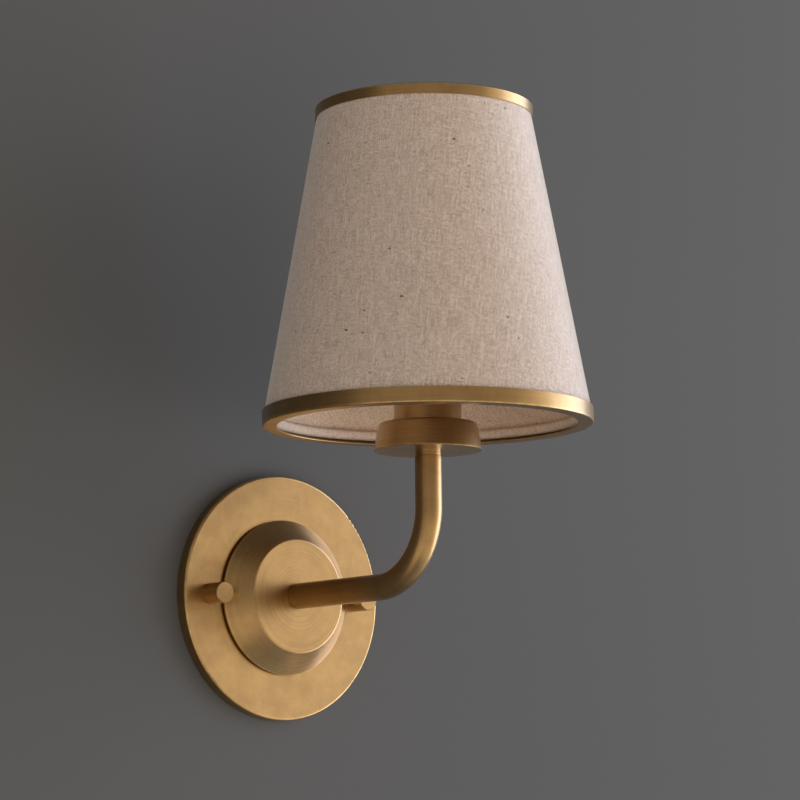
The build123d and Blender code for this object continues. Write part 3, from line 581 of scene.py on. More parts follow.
def new_group(name, inputs, outputs):
    """An empty shader node group: its tree, its graph, its input sockets and its output node's sockets."""
    tree = bpy.data.node_groups.new(name, "ShaderNodeTree")
    for label, (kind, value) in inputs.items():
        socket = tree.interface.new_socket(label, in_out="INPUT", socket_type=kind)
        if value is not None:
            socket.default_value = value
    for label, kind in outputs.items():
        tree.interface.new_socket(label, in_out="OUTPUT", socket_type=kind)
    graph = Graph(tree)
    return tree, graph, graph.node("NodeGroupInput").outputs, graph.node("NodeGroupOutput").inputs


NUMBER, ARROW = "NodeSocketFloat", "NodeSocketVector"
UPRIGHT_SHARE = 1.37  # how fast a lathe's marks follow each other up a piece, against out from its axis


def turned_strokes_group():
    """Coordinates for marks left by a lathe about the Z axis: fine across the marks, long round the axis."""
    tree, graph, given, result = new_group(
        "Turned Strokes",
        {"Position": (ARROW, None), "Stroke Width": (NUMBER, 0.0002), "Stroke Length": (NUMBER, 0.016)},
        {"Strokes": ARROW, "Radius": NUMBER, "Height": NUMBER},
    )
    x, y, z = graph.split(given["Position"])
    radius = graph.math("SQRT", graph.math("ADD", graph.math("MULTIPLY", x, x), graph.math("MULTIPLY", y, y)))
    across = graph.math("ADD", radius, graph.math("MULTIPLY", z, UPRIGHT_SHARE))
    strokes = graph.join(
        graph.math("DIVIDE", across, given["Stroke Width"]),
        graph.math("DIVIDE", x, given["Stroke Length"]),
        graph.math("DIVIDE", y, given["Stroke Length"]),
    )
    graph.fill(result["Strokes"], strokes)
    graph.fill(result["Radius"], radius)
    graph.fill(result["Height"], z)
    return tree


def bent_tube_strokes_group():
    """Coordinates for marks that run along the arm: fine across its section, long along its middle line.

    The place in the section is x and the bend radius less the distance from the bend's centre, where
    stretches before and after the bend count as if the centre moved along with them.
    """
    tree, graph, given, result = new_group(
        "Bent Tube Strokes",
        {"Position": (ARROW, None), "Bend Radius": (NUMBER, 0.036), "Projection": (NUMBER, 0.1155),
         "Stroke Width": (NUMBER, 0.0002), "Stroke Length": (NUMBER, 0.016)},
        {"Strokes": ARROW},
    )
    x, y, z = graph.split(given["Position"])
    past_bend = graph.math("SUBTRACT", graph.math("SUBTRACT", given["Bend Radius"], given["Projection"]), y)
    past_bend = graph.math("MAXIMUM", past_bend, 0.0)
    below_bend = graph.math("MAXIMUM", graph.math("SUBTRACT", given["Bend Radius"], z), 0.0)
    squares = graph.math(
        "ADD", graph.math("MULTIPLY", past_bend, past_bend), graph.math("MULTIPLY", below_bend, below_bend)
    )
    inward = graph.math("SUBTRACT", given["Bend Radius"], graph.math("SQRT", squares))
    strokes = graph.join(
        graph.math("DIVIDE", x, given["Stroke Width"]),
        graph.math("DIVIDE", inward, given["Stroke Width"]),
        graph.math("DIVIDE", graph.math("SUBTRACT", z, y), given["Stroke Length"]),
    )
    graph.fill(result["Strokes"], strokes)
    return tree


def aged_metal_group():
    """Satin metal with fine and coarse brush marks, soft blotches of patina and small dark pits."""
    tree, graph, given, result = new_group(
        "Aged Metal",
        {"Strokes": (ARROW, None), "Position": (ARROW, None), "Blotch Size": (NUMBER, 0.011),
         "Brush": (NUMBER, 1.0), "Patina": (NUMBER, 1.0)},
        {"Tone": NUMBER, "Roughness Shift": NUMBER, "Height": NUMBER},
    )
    fine = graph.noise(given["Strokes"], 1.0, 4.0, 0.62)
    coarse = graph.noise(given["Strokes"], 0.17, 3.0, 0.55)
    spot = graph.vector("DIVIDE", given["Position"], graph.join(*[given["Blotch Size"]] * 3))
    blotch = graph.noise(spot, 1.0, 5.0, 0.58)
    freckle = graph.ramp(graph.noise(spot, 7.5, 3.0, 0.6), 0.56, 0.74)
    brushed = graph.math("ADD", graph.math("MULTIPLY", graph.math("SUBTRACT", fine, 0.5), 0.50),
                         graph.math("MULTIPLY", graph.math("SUBTRACT", coarse, 0.5), 0.50))
    brushed = graph.math("MULTIPLY", brushed, given["Brush"])
    clouded = graph.math("MULTIPLY", graph.math("SUBTRACT", graph.ramp(blotch, 0.28, 0.72), 0.5), 0.24)
    clouded = graph.math("SUBTRACT", clouded, graph.math("MULTIPLY", freckle, 0.10))
    clouded = graph.math("MULTIPLY", clouded, given["Patina"])
    tone = graph.math("ADD", graph.math("ADD", brushed, clouded), 0.55, clamp=True)
    shift = graph.math("ADD", graph.math("MULTIPLY", graph.math("SUBTRACT", 0.5, tone), 0.22),
                       graph.math("MULTIPLY", graph.math("SUBTRACT", fine, 0.5), 0.16))
    height = graph.math("ADD", graph.math("MULTIPLY", fine, given["Brush"]),
                        graph.math("MULTIPLY", blotch, 0.35))
    graph.fill(result["Tone"], tone)
    graph.fill(result["Roughness Shift"], shift)
    graph.fill(result["Height"], height)
    return tree


def edge_wear_and_highlight_group():
    """A lighter line where a coordinate comes near an edge's place, broken up by noise: part wear, part
    painted highlight.
    """
    tree, graph, given, result = new_group(
        "Edge Wear And Highlight",
        {"Coordinate": (NUMBER, 0.0), "Edge": (NUMBER, 0.0), "Width": (NUMBER, 0.0008),
         "Position": (ARROW, None)},
        {"Lighter Line": NUMBER},
    )
    apart = graph.math("ABSOLUTE", graph.math("SUBTRACT", given["Coordinate"], given["Edge"]))
    near = graph.math("SUBTRACT", 1.0, graph.ramp(graph.math("DIVIDE", apart, given["Width"]), 0.25, 1.0))
    broken = graph.ramp(graph.noise(given["Position"], 260.0, 3.0, 0.6), 0.30, 0.66, 0.35, 1.0)
    graph.fill(result["Lighter Line"], graph.math("MULTIPLY", near, broken))
    return tree


def slub_linen_group():
    """Plain-woven linen on the flat cloth's own coordinates, counted in threads.

    The weave is a product of two sines, one half wave to each thread, on coordinates that wander a little.
    Every crossing has a tone of its own, and every thread grows thick and thin along its run. Slubs are
    noise drawn out along the weft, and streaks the same along the warp. Specks of husk are the middles of
    random cells, and so are the fine dark fibres, which are drawn out further along the weft.
    """
    tree, graph, given, result = new_group(
        "Slub Linen",
        {"Cloth": (ARROW, None), "Thread Pitch": (NUMBER, 0.0005), "Slub": (NUMBER, 1.0),
         "Speck": (NUMBER, 1.0)},
        {"Tone": NUMBER, "Height": NUMBER, "Speck": NUMBER},
    )
    threads = graph.vector("DIVIDE", given["Cloth"], graph.join(*[given["Thread Pitch"]] * 3))
    u, v, _ = graph.split(threads)

    def stretched(along, across, layer):
        """Thread coordinates scaled along and across the weft, on a layer of the noise of their own."""
        return graph.join(graph.math("MULTIPLY", u, along), graph.math("MULTIPLY", v, across), layer)

    def centred(value, weight):
        """A value from 0 to 1 turned into a weighted shift about nothing."""
        return graph.math("MULTIPLY", graph.math("SUBTRACT", value, 0.5), weight)

    u_there = graph.math("ADD", u, centred(graph.noise(stretched(0.5, 0.06, 1.0)), 1.6))
    v_there = graph.math("ADD", v, centred(graph.noise(stretched(0.06, 0.5, 7.0)), 1.6))
    weave = graph.math("MULTIPLY", graph.math("SINE", graph.math("MULTIPLY", u_there, pi)),
                       graph.math("SINE", graph.math("MULTIPLY", v_there, pi)))
    crossing = graph.join(graph.math("FLOOR", u_there), graph.math("FLOOR", v_there))
    crossing_tone = graph.node("ShaderNodeTexWhiteNoise", {"Vector": crossing}).outputs["Value"]
    weft_tone = graph.noise(stretched(0.075, 1.0, 3.0))
    warp_tone = graph.noise(stretched(1.0, 0.05, 5.0))
    warp_streak = graph.noise(stretched(0.45, 0.030, 31.0))
    weft_slub = graph.ramp(graph.noise(stretched(0.045, 0.75, 11.0), 1.0, 3.0), 0.56, 0.72)
    weft_gap = graph.ramp(graph.noise(stretched(0.06, 0.85, 23.0)), 0.60, 0.74)
    warp_slub = graph.ramp(graph.noise(stretched(0.75, 0.04, 17.0), 1.0, 3.0), 0.58, 0.76)
    slubs = graph.math("MULTIPLY", graph.math("ADD", weft_slub, graph.math("MULTIPLY", warp_slub, 0.5)),
                       given["Slub"])
    cloud = graph.noise(given["Cloth"], 45.0, 3.0)

    # The weave's dark half, between the raised threads, is painted shade.
    tone = graph.math("ADD", 0.58, graph.math("MULTIPLY", weave, 0.45))
    shifts = (
        centred(crossing_tone, 0.75), centred(weft_tone, 1.10), centred(warp_tone, 1.45),
        centred(warp_streak, 0.40), centred(cloud, 0.09),
        graph.math("MULTIPLY", slubs, 0.11), graph.math("MULTIPLY", weft_gap, -0.26),
    )
    for shift in shifts:
        tone = graph.math("ADD", tone, shift)
    height = graph.math("ADD", graph.math("MULTIPLY", weave, 0.45), graph.math("MULTIPLY", slubs, 0.8))
    height = graph.math("ADD", height, graph.math("MULTIPLY", graph.math("ADD", weft_tone, warp_tone), 0.5))

    # Each kind of speck: how its cells shrink along and across the weft, its largest size, its darkest tone.
    husk_bits, dark_fibres = (0.060, 0.100, 0.115, 1.0), (0.014, 0.18, 0.085, 0.8)
    specks = None
    for along, across, largest, strength in (husk_bits, dark_fibres):
        cells = graph.node("ShaderNodeTexVoronoi", {"Vector": stretched(along, across, 0.0), "Scale": 1.0})
        chance = graph.split(cells.outputs["Color"])
        size = graph.ramp(chance[0], 0.12, 1.0, 0.0, largest)
        inside = graph.math("SUBTRACT", size, cells.outputs["Distance"])
        darkness = graph.ramp(chance[1], 0.0, 1.0, 0.5, strength)
        spot = graph.math("MULTIPLY", graph.ramp(inside, 0.0, 0.03), darkness)
        specks = spot if specks is None else graph.math("MAXIMUM", specks, spot)
    graph.fill(result["Tone"], graph.math("MAXIMUM", graph.math("MINIMUM", tone, 1.0), 0.0))
    graph.fill(result["Height"], height)
    graph.fill(result["Speck"], graph.math("MULTIPLY", specks, given["Speck"]))
    return tree


def surface_grain_group():
    """Soft unevenness for moulded, glazed and coated surfaces: a broad cloud and a fine grain."""
    tree, graph, given, result = new_group(
        "Surface Grain",
        {"Position": (ARROW, None), "Grain Size": (NUMBER, 0.0004), "Cloud Size": (NUMBER, 0.008)},
        {"Cloud": NUMBER, "Grain": NUMBER},
    )
    sizes = (("Cloud", "Cloud Size", 3.0), ("Grain", "Grain Size", 2.0))
    for output, size, detail in sizes:
        place = graph.vector("DIVIDE", given["Position"], graph.join(*[given[size]] * 3))
        graph.fill(result[output], graph.noise(place, 1.0, detail))
    return tree


GROUP_MAKERS = {
    "Turned Strokes": turned_strokes_group,
    "Bent Tube Strokes": bent_tube_strokes_group,
    "Aged Metal": aged_metal_group,
    "Edge Wear And Highlight": edge_wear_and_highlight_group,
    "Slub Linen": slub_linen_group,
    "Surface Grain": surface_grain_group,
}


def shared_group(name):
    """The shader node group of a name, made on its first use."""
    return bpy.data.node_groups.get(name) or GROUP_MAKERS[name]()


def new_material(name):
    """A material with its Principled shader, and the graph to fill it."""
    material = bpy.data.materials.new(name)
    material.use_nodes = True
    shader = material.node_tree.nodes["Principled BSDF"]
    return material, Graph(material.node_tree), shader


def opaque(colour):
    """A colour with an alpha of one."""
    return (*colour[:3], 1.0)


def object_position(graph):
    """A material's Object coordinates."""
    return graph.node("ShaderNodeTexCoord").outputs["Object"]


def local_position(graph, position, centre, turn):
    """Coordinates moved so that a centre is the origin, and then turned."""
    moved = graph.vector("SUBTRACT", position, tuple(centre))
    return graph.node("ShaderNodeMapping", {"Vector": moved, "Rotation": turn}).outputs[0]


def surface_grain(graph, grain, cloud):
    """The soft cloud and the fine grain of a plain surface, by their sizes in metres."""
    return graph.group(
        shared_group("Surface Grain"), position=object_position(graph), grain_size=grain, cloud_size=cloud)


def add_bump(graph, shader, height, strength, distance):
    """Feeds a height through a Bump node into the shader's normal."""
    bump = graph.node("ShaderNodeBump", {"Height": height, "Strength": strength, "Distance": distance})
    graph.fill(shader.inputs["Normal"], bump.outputs[0])


# ---------------------------------------------------------------- finishes

FACING_OUT = (pi / 2, 0, 0)  # turns the wall's outward direction into the lathe's axis
UPRIGHT = (0, 0, 0)
BACKPLATE_MIDDLE = (0, 0, 0)
EDGE_WEAR_AND_HIGHLIGHT_SHARE = 0.45  # how much lighter an edge line of wear and painted highlight is
ARM_STROKE_WIDTH, ARM_STROKE_LENGTH = 2.2, 1.6  # the arm's brush marks against the turned pieces'


def finish_brass(graph, shader, brass, strokes, position, brush, patina, worn_and_lit_edges=()):
    """Fills the shader of one brass finish from its stroke coordinates and its edge lines of wear and painted
    highlight.
    """
    metal = graph.group(
        shared_group("Aged Metal"), strokes=strokes, position=position, blotch_size=brass.blotch,
        brush=brush, patina=patina)
    tone = metal["Tone"]
    for worn_and_lit_edge in worn_and_lit_edges:
        tone = graph.math("ADD", tone, graph.math("MULTIPLY", worn_and_lit_edge, EDGE_WEAR_AND_HIGHLIGHT_SHARE), clamp=True)
    graph.fill(
        shader.inputs["Base Color"], graph.mix(tone, opaque(brass.dark_colour), opaque(brass.bright_colour)))
    rough = graph.math("ADD", metal["Roughness Shift"], brass.roughness, clamp=True)
    graph.fill(shader.inputs["Roughness"], rough)
    shader.inputs["Metallic"].default_value = 1.0
    shader.inputs["Coat Weight"].default_value = 0.55
    shader.inputs["Coat Roughness"].default_value = 0.30
    add_bump(graph, shader, metal["Height"], strength=0.16, distance=0.00006)


def turned_brass(name, brass, centre, turn, brush, patina, edges=()):
    """Brass turned on a lathe. Edges are lighter lines of wear and painted highlight, as which coordinate,
    its place and the line's width.
    """
    material, graph, shader = new_material(name)
    position = object_position(graph)
    lathe = graph.group(
        shared_group("Turned Strokes"), position=local_position(graph, position, centre, turn),
        stroke_width=brass.stroke_width, stroke_length=brass.stroke_length)
    worn_and_lit_edges = [
        graph.group(shared_group("Edge Wear And Highlight"), coordinate=lathe[which], edge=place, width=width,
                    position=position)["Lighter Line"]
        for which, place, width in edges
    ]
    finish_brass(graph, shader, brass, lathe["Strokes"], position, brush, patina, worn_and_lit_edges)
    return material


def tube_brass(name, brass):
    """Brass brushed along the bent arm."""
    material, graph, shader = new_material(name)
    position = object_position(graph)
    tube = graph.group(
        shared_group("Bent Tube Strokes"), position=position, bend_radius=BEND_RADIUS,
        projection=-LAMP_AXIS.y, stroke_width=ARM_STROKE_WIDTH * brass.stroke_width,
        stroke_length=ARM_STROKE_LENGTH * brass.stroke_length)
    finish_brass(graph, shader, brass, tube["Strokes"], position, brush=0.9, patina=0.75)
    return material


def linen(name, cloth, tone_shift=0.0, slub=1.0, speck=1.0, tint=(1, 1, 1)):
    """Natural slub linen on the cloth's own flat coordinates."""
    material, graph, shader = new_material(name)
    flat = graph.node("ShaderNodeUVMap", uv_map="cloth").outputs[0]
    cloth_out = graph.group(
        shared_group("Slub Linen"), cloth=flat, thread_pitch=cloth.thread_pitch, slub=slub, speck=speck)
    tone = graph.math("ADD", cloth_out["Tone"], tone_shift, clamp=True)
    dark, light = (
        opaque([min(part * share, 1.0) for part, share in zip(colour, tint)])
        for colour in (cloth.dark_colour, cloth.light_colour)
    )
    threads = graph.mix(tone, dark, light)
    colour = graph.mix(cloth_out["Speck"], threads, opaque(cloth.speck_colour))
    graph.fill(shader.inputs["Base Color"], colour)
    graph.fill(shader.inputs["Roughness"], graph.ramp(tone, 0.0, 1.0, 0.96, 0.80))
    shader.inputs["Specular IOR Level"].default_value = 0.2
    shader.inputs["Sheen Weight"].default_value = 0.9
    shader.inputs["Sheen Roughness"].default_value = 0.45
    shader.inputs["Sheen Tint"].default_value = (1.0, 0.98, 0.97, 1.0)
    add_bump(graph, shader, cloth_out["Height"], strength=0.55, distance=0.00012)
    return material


def grained(
    name, colour, roughness, metallic=0.0, grain=0.0004, cloud=0.008, contrast=0.10, bump=0.12, **sockets
):
    """A plain finish with a soft cloud in its colour and a fine grain in its gloss and relief."""
    material, graph, shader = new_material(name)
    surface = surface_grain(graph, grain, cloud)
    dark = opaque([part * (1 - contrast) for part in colour])
    bright = opaque([min(part * (1 + contrast), 1.0) for part in colour])
    graph.fill(shader.inputs["Base Color"], graph.mix(graph.ramp(surface["Cloud"], 0.3, 0.7), dark, bright))
    rough = graph.ramp(surface["Grain"], 0.3, 0.7, roughness - 0.05, roughness + 0.06)
    graph.fill(shader.inputs["Roughness"], rough)
    shader.inputs["Metallic"].default_value = metallic
    for socket, value in sockets.items():
        shader.inputs[socket.replace("_", " ")].default_value = value
    add_bump(graph, shader, surface["Grain"], strength=bump, distance=0.00003)
    return material


def opal_glass(name):
    """White opal bulb glass: a milky body under a clear glossy surface."""
    material, graph, shader = new_material(name)
    surface = surface_grain(graph, grain=0.0006, cloud=0.02)
    milk = graph.mix(graph.ramp(surface["Cloud"], 0.3, 0.7), (0.86, 0.85, 0.82, 1), (0.93, 0.925, 0.905, 1))
    graph.fill(shader.inputs["Base Color"], milk)
    graph.fill(shader.inputs["Roughness"], graph.ramp(surface["Grain"], 0.3, 0.7, 0.10, 0.15))
    shader.inputs["Coat Weight"].default_value = 0.6
    shader.inputs["Coat Roughness"].default_value = 0.04
    return material


def dress(material, *nodes):
    """Puts one material on nodes of the frame, through their objects' slots."""
    for node in nodes:
        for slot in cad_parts[node].material_slots:
            slot.link = "OBJECT"
            slot.material = material


def dress_piece(piece, material, body, slot, *replaced):
    """Gives a new piece its material and its body, and hides the nodes that it stands for. The slot is not
    used.
    """
    piece.data.materials.append(material)
    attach(piece, body)
    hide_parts(*replaced)


# ---------------------------------------------------------------- operators


class WALL_LIGHT_OT_brass(bpy.types.Operator):
    """Bend the arm's tube and finish the aged brass pieces, each brushed the way it was made"""

    bl_idname = "wall_light.brass"
    bl_label = "Finish Brass"

    def execute(self, context):
        brass = context.scene.wall_light_brass
        # The plate's rim line and the hub's face edge line are part wear, part painted highlight.
        plate_edge = [("Radius", PLATE_BOX[1].x - 0.5 * MM, 0.9 * MM)]
        dress(turned_brass("aged brass plate", brass, BACKPLATE_MIDDLE, FACING_OUT, brush=0.35, patina=1.0,
                           edges=plate_edge), "backplate")
        hub_edge = [("Radius", HUB_BOX[1].x, 0.7 * MM)]
        dress(turned_brass("aged brass hub", brass, BACKPLATE_MIDDLE, FACING_OUT, brush=1.0, patina=0.7,
                           edges=hub_edge), "hub")
        for node in ("cap_nut_left", "cap_nut_right"):
            name = "aged brass " + node.replace("_", " ")
            dress(turned_brass(name, brass, middle(node), FACING_OUT, brush=0.8, patina=1.1), node)
        tube = bent_tube("arm", ARM_BOX[1].x, ARM_BOX[1].y, ARM_BOX[1].z)
        dress_piece(tube, tube_brass("aged brass arm", brass), "fixture", "aged_brass", "arm_tube")
        # The cup's rim line is part wear, part painted highlight.
        cup_edge = [("Height", CUP_RIM - LAMP_AXIS.z, 0.9 * MM)]
        dress(turned_brass("aged brass cup", brass, LAMP_AXIS, UPRIGHT, brush=1.25, patina=0.7,
                           edges=cup_edge), "fitter_cup")
        dress(turned_brass("aged brass husk", brass, LAMP_AXIS, UPRIGHT, brush=1.0, patina=0.7),
              "socket_husk")
        return {"FINISHED"}


class WALL_LIGHT_OT_shade_rings(bpy.types.Operator):
    """Fold the brass rings at the shade's bottom and top, each a band with a lip turned in"""

    bl_idname = "wall_light.shade_rings"
    bl_label = "Shade Rings"

    def execute(self, context):
        brass = context.scene.wall_light_brass
        inner, outer, low, high = ring_edges("shade_bottom_ring")
        bottom = folded_ring("bottom_ring", [
            (outer, low, RING_FOLD), (outer, high, CUT_EDGE),
            (outer - RING_WALL, high, CUT_EDGE), (outer - RING_WALL, low + RING_LIP, CUT_EDGE),
            (inner, low + RING_LIP, LIP_EDGE), (inner, low, LIP_EDGE)])
        # The bottom ring's lower edge line is part wear, part painted highlight.
        finish = turned_brass("aged brass low ring", brass, LAMP_AXIS, UPRIGHT, brush=0.8, patina=0.8,
                              edges=[("Height", low - LAMP_AXIS.z + 0.5 * MM, 0.8 * MM)])
        dress_piece(bottom, finish, "shade", "aged_brass", "shade_bottom_ring")
        inner, outer, low, high = ring_edges("shade_top_ring")
        top = folded_ring("top_ring", [
            (outer, low, CUT_EDGE), (outer, high, TOP_RING_FOLD),
            (inner, high, LIP_EDGE), (inner, high - RING_LIP, LIP_EDGE),
            (outer - RING_WALL, high - RING_LIP, CUT_EDGE), (outer - RING_WALL, low, CUT_EDGE)])
        # The top ring's upper edge line is part wear, part painted highlight.
        finish = turned_brass("aged brass top ring", brass, LAMP_AXIS, UPRIGHT, brush=0.8, patina=0.8,
                              edges=[("Height", high - LAMP_AXIS.z - 0.3 * MM, 0.6 * MM)])
        dress_piece(top, finish, "shade", "aged_brass", "shade_top_ring")
        return {"FINISHED"}


class WALL_LIGHT_OT_linen_cover(bpy.types.Operator):
    """Roll the linen cover round the shade and lap its seam at the wall side"""

    bl_idname = "wall_light.linen_cover"
    bl_label = "Linen Cover"

    def execute(self, context):
        cloth = context.scene.wall_light_cloth
        piece, flat, area = rolled_cloth(
            "linen_cover", COVER_LOW_RADIUS, COVER_SLOPE, COVER_LOW, COVER_HIGH, cloth)
        dress_piece(piece, linen("natural slub linen", cloth), "shade", "linen", "shade_linen_cover")
        return {"FINISHED"}


class WALL_LIGHT_OT_linen_lining(bpy.types.Operator):
    """Roll the linen lining inside the shade, with its hem tape over the bottom wire"""

    bl_idname = "wall_light.linen_lining"
    bl_label = "Linen Lining and Hem"

    def execute(self, context):
        cloth = context.scene.wall_light_cloth
        piece, flat, area = rolled_cloth(
            "linen_lining", LINING_LOW_RADIUS, COVER_SLOPE, LINING_LOW, LINING_HIGH, cloth)
        # The lining's lighter tone and warm tint are painted light for the glow through the shade.
        inner = linen("lining linen with painted glow", cloth, tone_shift=0.16, slub=0.5, speck=0.8, tint=(1.07, 0.96, 0.86))
        dress_piece(piece, inner, "shade", "linen", "shade_linen_lining")
        # The hem tape's lighter tone and tint are painted light for the glow through the shade.
        hem = hem_tape("linen_hem", cloth)
        tape = linen("hem linen with painted glow", cloth, tone_shift=0.32, slub=0.5, speck=0.3, tint=(1.05, 0.99, 0.93))
        dress_piece(hem, tape, "shade", "linen", "shade_hem")
        return {"FINISHED"}


class WALL_LIGHT_OT_lampholder(bpy.types.Operator):
    """Cut the threads of the lampholder's skirt and of the bulb's cap, and finish the lampholder"""

    bl_idname = "wall_light.lampholder"
    bl_label = "Lampholder and Bulb"

    def execute(self, context):
        phenolic = grained(
            "black phenolic", (0.022, 0.021, 0.020), 0.34, contrast=0.25, bump=0.2, Coat_Weight=0.15)
        dress(phenolic, "lampholder_base", "lower_shade_ring", "shade_ring_nut")
        porcelain = grained("porcelain", (0.86, 0.85, 0.81), 0.16, contrast=0.03, Coat_Weight=0.5)
        dress(porcelain, "lampholder_insert")
        low, high, reach = SKIRT_BOX[0].z, SKIRT_BOX[1].z, SKIRT_BOX[1].x
        skirt = threaded_sleeve(
            "threaded_skirt", reach, bore=reach - 3.2 * MM, low=low, high=high, thread_low=HUSK_TOP - 1 * MM,
            thread_high=high + 2 * MM, pitch=2.5 * MM, depth=0.7 * MM, roundness=1.0)
        dress_piece(skirt, phenolic, "fixture", "black_phenolic", "lampholder_skirt")
        low, high, reach = BULB_CAP_BOX[0].z, BULB_CAP_BOX[1].z, BULB_CAP_BOX[1].x
        cap = threaded_sleeve(
            "threaded_bulb_cap", reach, bore=1.5 * MM, low=low, high=high, thread_low=low,
            thread_high=high - 2 * MM, pitch=2.82 * MM, depth=0.75 * MM, roundness=0.8)
        rolled = grained("rolled aluminium", (0.70, 0.70, 0.69), 0.28, metallic=1.0, contrast=0.08)
        dress_piece(cap, rolled, "bulb", "bulb_cap", "bulb_cap")
        dress(opal_glass("opal glass"), "bulb_glass")
        dress(grained("bulb collar", (0.82, 0.81, 0.78), 0.35, contrast=0.03, Coat_Weight=0.2), "bulb_collar")
        contact = grained("bright brass", (0.80, 0.58, 0.27), 0.24, metallic=1.0, contrast=0.10)
        dress(contact, "lampholder_screw_shell", "lampholder_centre_contact", "bulb_tip", "earth_lug",
              "terminal_screws")
        return {"FINISHED"}


class WALL_LIGHT_OT_fittings(bpy.types.Operator):
    """Finish the mounting plate, the fasteners, the wires and the shade's carrier"""

    bl_idname = "wall_light.fittings"
    bl_label = "Fittings and Wiring"

    def execute(self, context):
        zinc = grained(
            "zinc plate", (0.60, 0.61, 0.615), 0.36, metallic=1.0, grain=0.0012, cloud=0.006, contrast=0.14)
        dress(zinc, "mounting_plate", "fixture_studs", "stud_lock_nuts", "hub_screws", "arm_nipple",
              "arm_lock_washer", "arm_nut", "lamp_nipple", "lamp_lock_washer")
        dress(grained("green earth screw", (0.035, 0.26, 0.085), 0.30, metallic=0.7, contrast=0.2),
              "mount_earth_screw")
        dress(grained("white nylon", (0.78, 0.77, 0.72), 0.42, contrast=0.04), "terminal_block")
        dress(grained("liner sheet", (0.84, 0.82, 0.77), 0.45, contrast=0.03), "shade_liner")
        dress(grained("white coated wire", (0.78, 0.77, 0.73), 0.38, grain=0.0007, contrast=0.04, bump=0.3),
              "shade_bottom_wire", "shade_top_wire", "shade_fitter_ring", "spider_arm_1", "spider_arm_2",
              "spider_arm_3")
        leads = {
            "lead_live": (0.02, 0.02, 0.021),
            "lead_neutral": (0.74, 0.73, 0.70),
            "lead_earth": (0.03, 0.24, 0.07),
        }
        for node, colour in leads.items():
            dress(grained(node.replace("_", " "), colour, 0.33, contrast=0.12, Coat_Weight=0.2), node)
        return {"FINISHED"}


# ---------------------------------------------------------------- stage

WALL_GAP = 0.4 * MM  # from the backplate's back to the wall
OPENING_DEPTH = 20 * MM  # longest ray that still passes through the wall behind the backplate
OPENING_MARGIN = 3 * MM  # from that opening's edge to the backplate's
LIT_HEIGHT = 0.09  # level that the key light points at
# The world's light changes between these sines of the rise, and its patch between these cosines.
FLOOR_FADE = (-0.40, -0.06)
HORIZON_FADE = (0.10, 0.36)
CEILING_FADE = (0.32, 0.90)
PATCH_FADE = (0.75, 0.98)


def one_sided(name, colour, opening=0.0):
    """A matt painted surface that is only there from its front.

    Inside an opening of a radius round the origin, hidden behind the backplate, it also lets short rays
    through, so that light reaches the light's back.
    """
    material, graph, shader = new_material(name)
    shader.inputs["Base Color"].default_value = opaque(colour)
    shader.inputs["Roughness"].default_value = 0.9
    output = material.node_tree.nodes["Material Output"]
    clear = graph.node("ShaderNodeBsdfTransparent").outputs[0]
    back = graph.node("ShaderNodeNewGeometry").outputs["Backfacing"]
    from_middle = graph.node(
        "ShaderNodeVectorMath", {0: object_position(graph)}, operation="LENGTH").outputs["Value"]
    short = graph.math("LESS_THAN", graph.node("ShaderNodeLightPath").outputs["Ray Length"], OPENING_DEPTH)
    unseen = graph.math("MULTIPLY", graph.math("LESS_THAN", from_middle, opening), short)
    both = graph.node(
        "ShaderNodeMixShader", {0: graph.math("MAXIMUM", back, unseen), 1: shader.outputs[0], 2: clear})
    graph.fill(output.inputs["Surface"], both.outputs[0])
    return material


def stage_plane(name, centre, normal, reach, material):
    """A square of the stage, facing along its normal."""
    points = np.array([(-1, -1, 0), (1, -1, 0), (1, 1, 0), (-1, 1, 0)]) * reach / 2
    plane = make_piece(name, points, np.array([(0, 1, 2, 3)]))
    turn = Vector(normal).to_track_quat("Z", "Y").to_matrix().to_4x4()
    plane.data.transform(Matrix.Translation(centre) @ turn)
    plane.data.materials.append(material)


def light_direction(turn, rise):
    """The direction towards a light, from its turn to the right of straight out of the wall and its rise."""
    return Vector((sin(turn) * cos(rise), -cos(turn) * cos(rise), sin(rise)))


def studio_world(stage):
    """Soft pale light from all round, the same for every ray.

    It grows towards the floor and fades towards a dim ceiling, and a broad patch round the side light's
    direction is brighter.
    """
    world = bpy.data.worlds.new("studio")
    world.use_nodes = True
    graph = Graph(world.node_tree)
    background = world.node_tree.nodes["Background"]
    direction = graph.node("ShaderNodeTexCoord").outputs["Generated"]
    rise = graph.split(direction)[2]
    lowest = graph.ramp(rise, *FLOOR_FADE, stage.lower_level, stage.fill_level)
    below = graph.ramp(rise, *HORIZON_FADE, stage.fill_level, stage.upper_level)
    above = graph.ramp(rise, *CEILING_FADE, stage.upper_level, stage.overhead_level)
    from_floor = graph.math("SUBTRACT", lowest, stage.fill_level)
    level = graph.math("ADD", graph.math("MINIMUM", below, above), from_floor)
    side = light_direction(stage.side_turn, stage.key_rise)
    nearness = graph.node(
        "ShaderNodeVectorMath", {0: direction, 1: side}, operation="DOT_PRODUCT").outputs["Value"]
    patch = graph.ramp(nearness, *PATCH_FADE, 0.0, stage.side_level)
    graph.fill(background.inputs["Strength"], graph.math("ADD", level, patch))
    background.inputs["Color"].default_value = opaque(stage.fill_colour)
    bpy.context.scene.world = world


